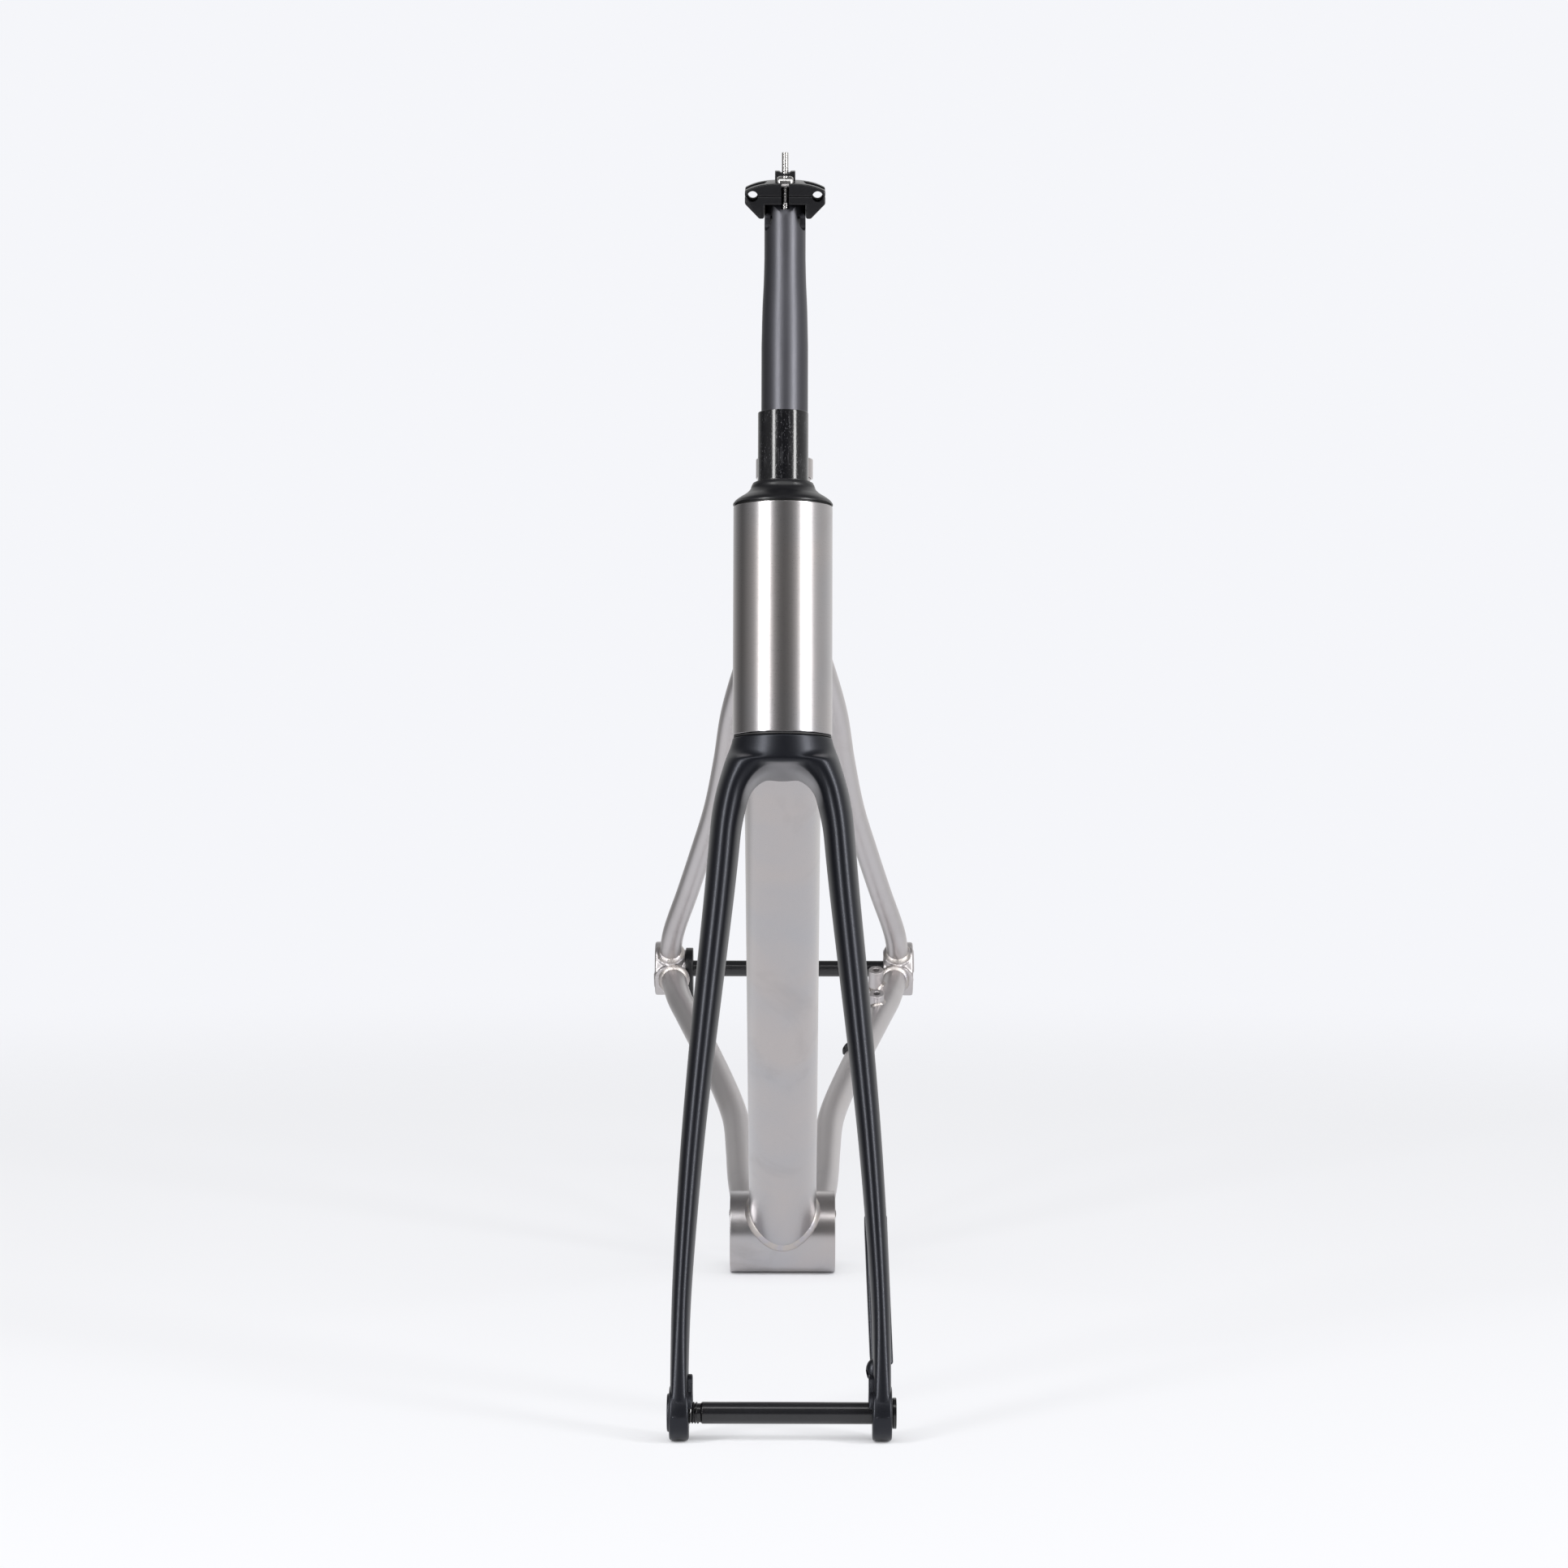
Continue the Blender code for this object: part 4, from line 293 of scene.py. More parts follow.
def glossAnodised(point):
    fine = noise(stretched(point, (5200, 300, 300)), 1.0, 2.0, 0.6)
    return {"Base Color": tinted(fine, (0.004, 0.004, 0.005), (0.012, 0.012, 0.014)),
            "Roughness": 0.17 + fine * 0.10, "Normal": bumped(fine, 0.08, 0.01 * mm)}


def brightSteel(point):
    fine = noise(point, 2400, 2.0, 0.6)
    stain = noise(point, 260, 3.0, 0.6)
    colour = tinted(stain, (0.60, 0.585, 0.57), (0.78, 0.77, 0.76))
    return {"Base Color": colour, "Roughness": 0.16 + fine * 0.14 + stain * 0.06,
            "Normal": bumped(fine, 0.10, 0.015 * mm)}


def rubberSkin(point):
    fine = noise(point, 2000, 3.0, 0.7)
    dust = ramped(noise(point, 90, 4.0, 0.6), (0.5, 0.0), (0.8, 1.0))
    colour = tinted(dust * 0.5 + fine * 0.3, (0.006, 0.006, 0.007), (0.030, 0.030, 0.032))
    return {"Base Color": colour, "Roughness": 0.42 + fine * 0.20, "Normal": bumped(fine, 0.25, 0.03 * mm)}


weldLook = mixLook("weldMetal", {"Metallic": 1.0}, weldMetal)
forkLook = mixLook("satinCarbon", {"Specular IOR Level": 0.42, "Specular Tint": (0.86, 0.89, 1.0)},
                   satinCarbon)
steererLook = mixLook("rawSteerer", {"Coat Weight": 0.3, "Coat Roughness": 0.12, "Specular IOR Level": 0.4},
                      rawSteerer)
postLook = mixLook("mattPost", {"Specular IOR Level": 1.0, "IOR": 1.55, "Specular Tint": (0.90, 0.90, 1.0)},
                   mattPost)
blackLook = mixLook("blackAnodised", {"Specular IOR Level": 0.45}, blackAnodised)
axleLook = mixLook("glossAnodised", {"Specular IOR Level": 0.6}, glossAnodised)
steelLook = mixLook("brightSteel", {"Metallic": 1.0}, brightSteel)
rubberLook = mixLook("rubberSkin", {}, rubberSkin)
print("looks mixed")

# mesh tools

def lathe(profile, segments=96, closed=True):
    # a profile of (radius, height) turned about Z
    bm = bmesh.new()
    rings = []
    for radius, height in profile:
        count = 1 if radius < 1e-7 else segments
        turns = [math.tau * i / count for i in range(count)]
        rings.append([bm.verts.new((radius * math.cos(t), radius * math.sin(t), height)) for t in turns])
    pairs = list(zip(rings, rings[1:])) + ([(rings[-1], rings[0])] if closed else [])
    for lower, upper in pairs:
        for i in range(segments):
            j = (i + 1) % segments
            corners = [ring[k % len(ring)] for ring, k in ((lower, i), (lower, j), (upper, j), (upper, i))]
            corners = list(dict.fromkeys(corners))
            if len(corners) > 2:
                bm.faces.new(corners)
    bmesh.ops.recalc_face_normals(bm, faces=bm.faces)
    return bm


def softened(profile, radius, closed=True, steps=3):
    # rounds the corners of a profile, with a short flat strip each side to keep the shading clean
    points = [Vector(p) for p in profile]
    count, out = len(points), []
    for i, corner in enumerate(points):
        if not closed and i in (0, count - 1):
            out.append(tuple(corner))
            continue
        before, after = points[i - 1] - corner, points[(i + 1) % count] - corner
        if before.angle(after) > math.radians(168):
            out.append(tuple(corner))
            continue
        reach = min(radius, 0.3 * before.length, 0.3 * after.length)
        first, last = corner + before.normalized() * reach, corner + after.normalized() * reach
        out.append(tuple(corner + before.normalized() * reach * 1.5))
        for k in range(steps + 1):
            t = k / steps
            out.append(tuple((1 - t) ** 2 * first + 2 * t * (1 - t) * corner + t * t * last))
        out.append(tuple(corner + after.normalized() * reach * 1.5))
    return out


def turned(profile, soft, segments=96, closed=True, steps=3):
    return lathe(softened(profile, soft, closed, steps), segments, closed)


def rod(radius, length, segments=64, start=0.0):
    profile = [(0, start), (radius, start), (radius, start + length), (0, start + length)]
    return lathe(profile, segments, False)


def counterbore(shaft, depth, head, rise, segments):
    # the shape to cut for a screw whose head sits at the origin
    profile = [(0, -depth), (shaft, -depth), (shaft, 0), (head, 0), (head, rise), (0, rise)]
    return lathe(profile, segments, False)


def pipe(outer, inner, length, segments=96, start=0.0, soft=0.0):
    profile = [(outer, start), (outer, start + length), (inner, start + length), (inner, start)]
    return lathe(softened(profile, soft) if soft else profile, segments)


def slab(outline, start, end, axis="Z"):
    # an outline drawn out along an axis
    spots = {"Z": lambda a, b, h: (a, b, h), "X": lambda a, b, h: (h, a, b), "Y": lambda a, b, h: (a, h, b)}
    bm = bmesh.new()
    lower = [bm.verts.new(spots[axis](a, b, start)) for a, b in outline]
    upper = [bm.verts.new(spots[axis](a, b, end)) for a, b in outline]
    bm.faces.new(lower)
    bm.faces.new(upper)
    bridged(bm, [*lower, lower[0]], [*upper, upper[0]])
    bmesh.ops.recalc_face_normals(bm, faces=bm.faces)
    return bm


def rectangle(left, right, lower, upper):
    return [(left, lower), (right, lower), (right, upper), (left, upper)]


def arc(centre, radius, start, end, count):
    turns = [math.radians(start + (end - start) * i / (count - 1)) for i in range(count)]
    return [(centre[0] + radius * math.cos(t), centre[1] + radius * math.sin(t)) for t in turns]


def beltOutline(circles, count=72):
    # the outline of a belt stretched round circles of (a, b, radius)
    points = sorted(p for a, b, radius in circles for p in arc((a, b), radius, 0, 360, count + 1)[:-1])

    def chain(ordered):
        kept = []
        for p in ordered:
            while len(kept) > 1 and ((kept[-1][0] - kept[-2][0]) * (p[1] - kept[-2][1])
                                     <= (kept[-1][1] - kept[-2][1]) * (p[0] - kept[-2][0])):
                kept.pop()
            kept.append(p)
        return kept[:-1]

    return chain(points) + chain(points[::-1])


def chamfered(bm, width, segments=3, angle=30):
    edges = [e for e in bm.edges if e.calc_face_angle(0) > math.radians(angle)]
    bmesh.ops.bevel(bm, geom=edges, offset=width, segments=segments, affect="EDGES", profile=0.5,
                    clamp_overlap=True)
    return bm


def bridged(bm, first, second):
    # faces between two chains of as many vertices
    for i in range(len(first) - 1):
        bm.faces.new((first[i], first[i + 1], second[i + 1], second[i]))


def placed(bm, place):
    bm.transform(place)
    return bm


def drill(radius, segments, place):
    # a hole right through a part, along the place's Z
    return placed(rod(radius, 200 * mm, segments, -100 * mm), place)


def loose(bm, name="working"):
    # a scene object to run modifiers on, not a piece
    mesh = bpy.data.meshes.new(name)
    bm.to_mesh(mesh)
    bm.free()
    made = bpy.data.objects.new(name, mesh)
    bpy.context.scene.collection.objects.link(made)
    return made


def baked(made, *helpers):
    # the evaluated mesh of a working object, which is then removed with its helpers
    graph = bpy.context.evaluated_depsgraph_get()
    mesh = bpy.data.meshes.new_from_object(made.evaluated_get(graph))
    bm = bmesh.new()
    bm.from_mesh(mesh)
    bpy.data.meshes.remove(mesh)
    for each in (made, *helpers):
        bpy.data.objects.remove(each)
    return bm


def combined(operation, base, others):
    working = loose(base)
    helpers = [loose(other, "helper") for other in others]
    for helper in helpers:
        modifier = working.modifiers.new("combine", "BOOLEAN")
        modifier.operation, modifier.solver, modifier.object = operation, "EXACT", helper
    return baked(working, *helpers)


def joined(base, *others):
    return combined("UNION", base, others)


def carved(base, *others):
    return combined("DIFFERENCE", base, others)


def melted(bm, grain, rounds):
    # one skin over overlapping shapes, with its inner corners filled as a casting's are
    working = loose(bm)
    skin = working.modifiers.new("skin", "REMESH")
    skin.mode, skin.voxel_size = "VOXEL", grain
    ease = working.modifiers.new("ease", "SMOOTH")
    ease.iterations, ease.factor = rounds, 0.5
    return baked(working)


def gathered(*meshes):
    total = bmesh.new()
    for bm in meshes:
        mesh = bpy.data.meshes.new("part")
        bm.to_mesh(mesh)
        bm.free()
        total.from_mesh(mesh)
        bpy.data.meshes.remove(mesh)
    return total


def piece(name, bm, look, replaced=(), rides=None, place=None, sharp=32):
    # a finished piece that stands for CAD nodes and moves with their body
    if place is not None:
        bm.transform(place)
    bmesh.ops.recalc_face_normals(bm, faces=bm.faces)
    made = loose(bm, name)
    made.data.shade_smooth()
    made.data.set_sharp_from_angle(angle=math.radians(sharp))
    made.data.materials.clear()
    made.data.materials.append(look)
    replaced = [replaced] if isinstance(replaced, str) else list(replaced)
    slot = rides or replaced[0]
    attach(made, nodes[slot]["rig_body"])
    if replaced:
        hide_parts(*replaced)
    return made


# geometry nodes

def newTree(name, inputs):
    tree = bpy.data.node_groups.new(name, "GeometryNodeTree")
    face = tree.interface
    face.new_socket("Geometry", in_out="INPUT", socket_type="NodeSocketGeometry")
    for label, kind, value in inputs:
        socket = face.new_socket(label, in_out="INPUT", socket_type="NodeSocket" + kind)
        if value is not None:
            socket.default_value = value
    face.new_socket("Geometry", in_out="OUTPUT", socket_type="NodeSocketGeometry")
    entry = tree.nodes.new("NodeGroupInput")
    return Flow(tree), {socket.name: Flow(tree, socket) for socket in entry.outputs if socket.name}


def endTree(geometry, material):
    solid = geometry.node("GeometryNodeRealizeInstances", {}, {0: geometry})
    dressed = solid.node("GeometryNodeSetMaterial", {}, {"Geometry": solid, "Material": material})
    end = geometry.tree.nodes.new("NodeGroupOutput")
    geometry.tree.links.new(dressed.socket, end.inputs[0])
    return geometry.tree


def grown(bm, tree, values):
    # runs a tree on a mesh and returns the plain mesh it makes
    working = loose(bm)
    modifier = working.modifiers.new("grow", "NODES")
    modifier.node_group = tree
    for item in tree.interface.items_tree:
        if item.in_out == "INPUT" and item.name in values:
            modifier[item.identifier] = values[item.name]
    return baked(working)


def weldTree():
    # overlapping puddles along each path, flat to the path's "facing" and tilted as a bead is laid
    flow, given = newTree("weldBead", [("Spacing", "Float", 1.6 * mm), ("Width", "Float", 5 * mm),
                                       ("Length", "Float", 4.4 * mm), ("Height", "Float", 1.7 * mm),
                                       ("Seed", "Int", 7), ("Material", "Material", None)])
    curve = flow.node("GeometryNodeMeshToCurve", {}, {0: given["Geometry"]})
    curve = flow.node("GeometryNodeResampleCurve", {"mode": "LENGTH"},
                      {"Curve": curve, "Length": given["Spacing"]})
    puddle = flow.node("GeometryNodeMeshUVSphere", {}, {"Segments": 12, "Rings": 6, "Radius": 0.5})
    size = flow.node("ShaderNodeCombineXYZ", {}, {0: given["Length"], 1: given["Width"], 2: given["Height"]})
    puddle = flow.node("GeometryNodeTransform", {}, {"Geometry": puddle, "Scale": size})
    puddle = flow.node("GeometryNodeTransform", {}, {"Geometry": puddle, "Rotation": (0, -0.07, 0)})
    puddle = flow.node("GeometryNodeSetShadeSmooth", {}, {"Geometry": puddle})
    facing = flow.node("GeometryNodeInputNamedAttribute", {"data_type": "FLOAT_VECTOR"}, {"Name": "facing"})
    scale = flow.node("GeometryNodeInputNamedAttribute", {"data_type": "FLOAT"}, {"Name": "size"})
    tangent = flow.node("GeometryNodeInputTangent")
    turn = flow.node("FunctionNodeAlignRotationToVector", {"axis": "Z"}, {"Vector": facing})
    turn = flow.node("FunctionNodeAlignRotationToVector", {"axis": "X", "pivot_axis": "Z"},
                     {"Rotation": turn, "Vector": tangent})
    spread = flow.node("FunctionNodeRandomValue", {"data_type": "FLOAT"},
                       {2: 0.96, 3: 1.04, "Seed": given["Seed"]}, 1)
    placedOn = flow.node("GeometryNodeInstanceOnPoints", {}, {"Points": curve, "Instance": puddle,
                                                             "Rotation": turn, "Scale": scale * spread})
    return endTree(placedOn, given["Material"])


def threadTree():
    # a helical ridge: the mesh it is given is not used
    flow, given = newTree("threadRidge", [("Radius", "Float", 6 * mm), ("Pitch", "Float", 1.5 * mm),
                                          ("Turns", "Float", 10.0), ("Ridge", "Float", 0.5 * mm),
                                          ("Material", "Material", None)])
    line = flow.node("GeometryNodeCurveSpiral", {}, {"Resolution": 40, "Rotations": given["Turns"],
                                                    "Start Radius": given["Radius"],
                                                    "End Radius": given["Radius"],
                                                    "Height": given["Turns"] * given["Pitch"]})
    section = flow.node("GeometryNodeCurvePrimitiveCircle", {}, {"Resolution": 6, "Radius": given["Ridge"]})
    ridge = flow.node("GeometryNodeCurveToMesh", {},
                      {"Curve": line, "Profile Curve": section, "Fill Caps": True})
    ridge = flow.node("GeometryNodeSetShadeSmooth", {}, {"Geometry": ridge})
    return endTree(ridge, given["Material"])


def sweptTree():
    # a round bar along the path it is given
    flow, given = newTree("sweptStay", [("Radius", "Float", 8 * mm), ("Rings", "Int", 90),
                                        ("Facets", "Int", 40), ("Material", "Material", None)])
    curve = flow.node("GeometryNodeMeshToCurve", {}, {0: given["Geometry"]})
    curve = flow.node("GeometryNodeResampleCurve", {"mode": "COUNT"},
                      {"Curve": curve, "Count": given["Rings"]})
    section = flow.node("GeometryNodeCurvePrimitiveCircle", {}, {"Resolution": given["Facets"],
                                                                "Radius": given["Radius"]})
    bar = flow.node("GeometryNodeCurveToMesh", {},
                    {"Curve": curve, "Profile Curve": section, "Fill Caps": True})
    bar = flow.node("GeometryNodeSetShadeSmooth", {}, {"Geometry": bar})
    return endTree(bar, given["Material"])


def ballTree():
    flow, given = newTree("ballRing", [("Balls", "Int", 12), ("Radius", "Float", 23 * mm),
                                       ("Ball", "Float", 1.6 * mm), ("Material", "Material", None)])
    ring = flow.node("GeometryNodeMeshCircle", {}, {"Vertices": given["Balls"], "Radius": given["Radius"]})
    ball = flow.node("GeometryNodeMeshUVSphere", {}, {"Segments": 14, "Rings": 8, "Radius": given["Ball"]})
    ball = flow.node("GeometryNodeSetShadeSmooth", {}, {"Geometry": ball})
    placedOn = flow.node("GeometryNodeInstanceOnPoints", {}, {"Points": ring, "Instance": ball})
    return endTree(placedOn, given["Material"])


def screwTree():
    # one screw at each point of the mesh, its head turned to the point's "facing"
    flow, given = newTree("screwSet", [("Screw", "Object", None), ("Material", "Material", None)])
    screw = flow.node("GeometryNodeObjectInfo", {}, {"Object": given["Screw"]}, "Geometry")
    facing = flow.node("GeometryNodeInputNamedAttribute", {"data_type": "FLOAT_VECTOR"}, {"Name": "facing"})
    turn = flow.node("FunctionNodeAlignRotationToVector", {"axis": "Z"}, {"Vector": facing})
    placedOn = flow.node("GeometryNodeInstanceOnPoints", {}, {"Points": given["Geometry"], "Instance": screw,
                                                             "Rotation": turn})
    return endTree(placedOn, given["Material"])


weldBead, threadRidge, sweptStay = weldTree(), threadTree(), sweptTree()
ballRing, screwSet = ballTree(), screwTree()
# a puddle's sizes, and the share of them that each kind of joint has
weld = {**millimetres(spacing=1.5, width=6.2, length=4.6, height=1.5, lift=1.35),
        "tube": 1.0, "stayTop": 0.82, "stayEnd": 0.85, "bridge": 0.7, "boss": 0.6}
weldLoops = []
stub = [(0, 0, 0), (0, 0, mm)]  # for the trees that make no use of their path


def wire(points, closed=False, facings=None, sizes=None):
    # a chain of edges, which the trees read as a path
    bm = bmesh.new()
    facing = bm.verts.layers.float_vector.new("facing")
    size = bm.verts.layers.float.new("size")
    verts = []
    for i, point in enumerate(points):
        vert = bm.verts.new(point)
        vert[facing] = facings[i] if facings else (0, 0, 1)
        vert[size] = sizes[i] if sizes else 1.0
        verts.append(vert)
    for first, second in zip(verts, verts[1:]):
        bm.edges.new((first, second))
    if closed:
        bm.edges.new((verts[-1], verts[0]))
    return bm


def weldAlong(points, sums, size):
    # sums of the two skins' unit normals: the tighter their corner, the further the bead stands out of it
    turn = stance.to_3x3()
    raised, facings = [], []
    for point, total in zip(points, sums):
        half = max(0.35, min(1.0, total.length / 2))
        facings.append((turn @ total).normalized())
        lift = weld["lift"] * size * math.sqrt(1 - half * half) / half
        raised.append(stance @ point + lift * facings[-1])
    weldLoops.append(wire(raised, True, facings, [size] * len(points)))


# tubes

def crossings(start, heading, tube):
    # where a line enters and leaves a round tube given as (point on axis, axis, radius)
    foot, axis, radius = tube
    h = heading - heading.dot(axis) * axis
    o = (start - foot) - (start - foot).dot(axis) * axis
    a, b, c = h.dot(h), 2 * h.dot(o), o.dot(o) - radius ** 2
    root = b * b - 4 * a * c
    if a < 1e-12 or root < 0:
        return None
    root = math.sqrt(root)
    return (-b - root) / (2 * a), (-b + root) / (2 * a)


def outwardFrom(point, tube):
    foot, axis, _ = tube
    return ((point - foot) - (point - foot).dot(axis) * axis).normalized()


def mitredTube(start, end, outer, wall, startTubes, endTubes, segments=112, bead=weld["tube"]):
    # a straight tube whose ends follow the tubes they meet; both mitres are welded
    place = along(start, end)
    axis, length = (end - start).normalized(), (end - start).length
    turn = place.to_3x3()

    def line(i, radius):
        angle = math.tau * i / segments
        out = turn @ Vector((math.cos(angle), math.sin(angle), 0))
        foot = start + radius * out
        low, high, lowTube, highTube = 0.0, length, None, None
        for tube in startTubes:
            found = crossings(foot, axis, tube)
            if found and found[1] > low:
                low, lowTube = found[1], tube
        for tube in endTubes:
            found = crossings(foot, axis, tube)
            if found and 0 < found[0] < high:
                high, highTube = found[0], tube
        return foot + low * axis, foot + high * axis, out, lowTube, highTube

    bm = bmesh.new()
    rings = [[], [], [], []]
    mitres = ([], []), ([], [])
    for i in range(segments):
        low, high, out, lowTube, highTube = line(i, outer)
        lowIn, highIn, *_ = line(i, outer - wall)
        for ring, point in zip(rings, (low, high, highIn, lowIn)):
            ring.append(bm.verts.new(point))
        for (points, sums), point, tube in zip(mitres, (low, high), (lowTube, highTube)):
            if tube:
                points.append(point)
                sums.append(out + outwardFrom(point, tube))
    for lower, upper in zip(rings, rings[1:] + rings[:1]):
        bridged(bm, [*lower, lower[0]], [*upper, upper[0]])
    for points, sums in mitres:
        if len(points) == segments:
            weldAlong(points, sums, bead)
    return bm


def hermite(stations, at):
    # a smooth value through stations of (place, value)
    if at <= stations[0][0]:
        return stations[0][1]
    if at >= stations[-1][0]:
        return stations[-1][1]
    i = max(k for k in range(len(stations) - 1) if stations[k][0] <= at)
    (x0, y0), (x1, y1) = stations[i], stations[i + 1]

    def slope(k):
        a, b = max(k - 1, 0), min(k + 1, len(stations) - 1)
        return (stations[b][1] - stations[a][1]) / (stations[b][0] - stations[a][0])

    span, t = x1 - x0, (at - x0) / (x1 - x0)
    return ((2 * t ** 3 - 3 * t ** 2 + 1) * y0 + (t ** 3 - 2 * t ** 2 + t) * span * slope(i)
            + (3 * t ** 2 - 2 * t ** 3) * y1 + (t ** 3 - t ** 2) * span * slope(i + 1))

# frame tubes, in the stance's space

head = millimetres(radius=28, wall=3.6, foot=1.6, length=129.6, bearing=26.3, seatDepth=8.2, soft=0.7)
tubes = millimetres(downRadius=22.25, downStart=46, topRadius=17.5, topStart=31, topEnd=478, wall=1,
                    seatRadius=17.5, seatWall=1.4, seatLength=520.6, slotHalf=1.3, slotDepth=26, relief=2.4,
                    shellWidth=70, shellWall=3.5, shellBevel=1.2, shellSoft=0.6)
headTop, headBore = head["foot"] + head["length"], head["radius"] - head["wall"]
lowerSeat, upperSeat = head["foot"] + head["seatDepth"], headTop - head["seatDepth"]
profile = [(head["radius"], head["foot"]), (head["radius"], headTop), (head["bearing"], headTop),
           (head["bearing"], upperSeat), (headBore, upperSeat), (headBore, lowerSeat),
           (head["bearing"], lowerSeat), (head["bearing"], head["foot"])]
headLook = titanium("headTitanium", steering)
piece("headTube", turned(profile, head["soft"], 160), headLook, "head_tube", place=steering)

origin = Vector((0, 0, 0))
headFoot, headCrest = crown + head["foot"] * steerUp, crown + headTop * steerUp
headSkin = (headFoot, steerUp, head["radius"] + gap)
shellSkin = (origin, Vector((1, 0, 0)), bike["shellRadius"] + gap)
seatSkin = (origin, seatUp, tubes["seatRadius"] + gap)
downStart = headFoot + tubes["downStart"] * steerUp
downAlong = downStart.normalized()
downSkin = (origin, downAlong, tubes["downRadius"] + gap)
downLook = titanium("downTitanium", stance @ along(downStart, origin))
downTube = mitredTube(downStart, origin, tubes["downRadius"], tubes["wall"], [headSkin], [shellSkin])
topStart, topEnd = headCrest - tubes["topStart"] * steerUp, tubes["topEnd"] * seatUp
topTube = mitredTube(topStart, topEnd, tubes["topRadius"], tubes["wall"], [headSkin], [seatSkin])
topLook = titanium("topTitanium", stance @ along(topStart, topEnd))
piece("topTube", topTube, topLook, "top_tube", place=stance)

seatTop = tubes["seatLength"] * seatUp
seatTube = mitredTube(origin, seatTop, tubes["seatRadius"], tubes["seatWall"], [shellSkin, downSkin], [])
slotFoot = tubes["seatLength"] - tubes["slotDepth"]
slot = rectangle(-tubes["slotHalf"], tubes["slotHalf"], 0, 40 * mm)
slot = slab(slot, slotFoot, tubes["seatLength"] + 5 * mm)
relief = placed(rod(tubes["relief"], 40 * mm, 32), shift(0, 0, slotFoot) @ tilt(-90))
seatPlace = tilt(bike["seatAngle"] - 90)
seatLook = titanium("seatTitanium", seatLine)

half, bevel = tubes["shellWidth"] / 2, tubes["shellBevel"]
inner = bike["shellRadius"] - tubes["shellWall"]
profile = [(bike["shellRadius"], -half), (bike["shellRadius"], half), (inner + bevel, half),
           (inner, half - bevel), (inner, -half + bevel), (inner + bevel, -half)]
shellLook = titanium("shellTitanium", stance @ facingX(), 0.26, 0.6)
piece("bottomBracketShell", turned(profile, tubes["shellSoft"], 180), shellLook, "bottom_bracket_shell",
      place=stance @ facingX())
print("main tubes cut")

# bottle bosses and their screws

bottle = millimetres(boss=5.5, height=1.8, root=2.4, hole=2.5, soft=0.5, spacing=64, downFirst=215,
                     seatFirst=165)
bottleScrew = millimetres(shank=2.2, length=3.2, radius=4.4, height=2.4, key=3)
bossScrews, drills = [], {"down": [], "seat": []}
for tube, line, out, look in (("down", downAlong, Vector((0, downAlong.z, -downAlong.y)), downLook),
                              ("seat", seatUp, Vector((0, -seatUp.z, seatUp.y)), seatLook)):
    radius, first = tubes[tube + "Radius"], bottle[tube + "First"]
    for level, reach in (("lower", first), ("upper", first + bottle["spacing"])):
        foot, top = line * reach, radius + bottle["height"]
        place = along(foot, foot + out)
        boss = pipe(bottle["boss"], bottle["hole"], top - radius + bottle["root"], 64,
                    radius - bottle["root"], bottle["soft"])
        tubeBore = placed(rod(radius + gap, 60 * mm, 112, -30 * mm), along(foot, foot + line))
        piece(f"{level}{tube.capitalize()}Boss", carved(placed(boss, place), tubeBore), look,
              f"{level}_{tube}_tube_bottle_boss", place=stance)
        drills[tube].append(placed(rod(bottle["hole"], 2 * radius, 40), place))
        bossScrews.append((stance @ (foot + top * out), stance.to_3x3() @ out))
piece("downTube", carved(downTube, *drills["down"]), downLook, "down_tube", place=stance)
cutters = [placed(slot, seatPlace), placed(relief, seatPlace), *drills["seat"]]
piece("seatTube", carved(seatTube, *cutters), seatLook, "seat_tube", place=stance)


def hexSocket(across, depth, top):
    # the recess for a hex key
    corner = across / math.sqrt(3)
    return lathe([(0, top - depth), (corner, top - depth), (corner, top + mm), (0, top + mm)], 6, False)


def screwSolid(shank, length, radius, height, key, domed=True):
    # the shank runs down from the origin and the head stands above it
    dome = [(radius, 0.35 * height), (0.86 * radius, 0.78 * height), (0.6 * radius, height)]
    solid = [(0, -length), (shank, -length), (shank, 0), (radius, 0),
             *(dome if domed else [(radius, height)]), (0, height)]
    return carved(turned(solid, 0.35 * mm, 40, False, 2), hexSocket(key, 0.62 * height, height))


template = loose(screwSolid(**bottleScrew), "bottleScrew")
template.data.shade_smooth()
template.data.set_sharp_from_angle(angle=math.radians(32))
spots = wire([spot for spot, facing in bossScrews], facings=[facing for spot, facing in bossScrews])
bmesh.ops.delete(spots, geom=spots.edges[:], context="EDGES_FACES")
screws = grown(spots, screwSet, {"Screw": template, "Material": steelLook})
bpy.data.objects.remove(template)
piece("bottleScrews", screws, steelLook, (), rides="lower_down_tube_bottle_boss")
print("bottle bosses fitted")

# rear triangle

rear = millimetres(inner=73.9, outer=96.5, middle=85.2, radius=20, plate=8, boss=14, hood=11, hoodReach=20,
                   bore=6.3, headRecess=9.3, recessFloor=90.2, plateEdge=1.4, hoodEdge=0.8, grain=0.6,
                   seatstay=8, chainstay=9.25, seatstayTop=445, stayOverlap=4, bridge=6,
                   seatstayBridge=364, chainstayBridge=352)
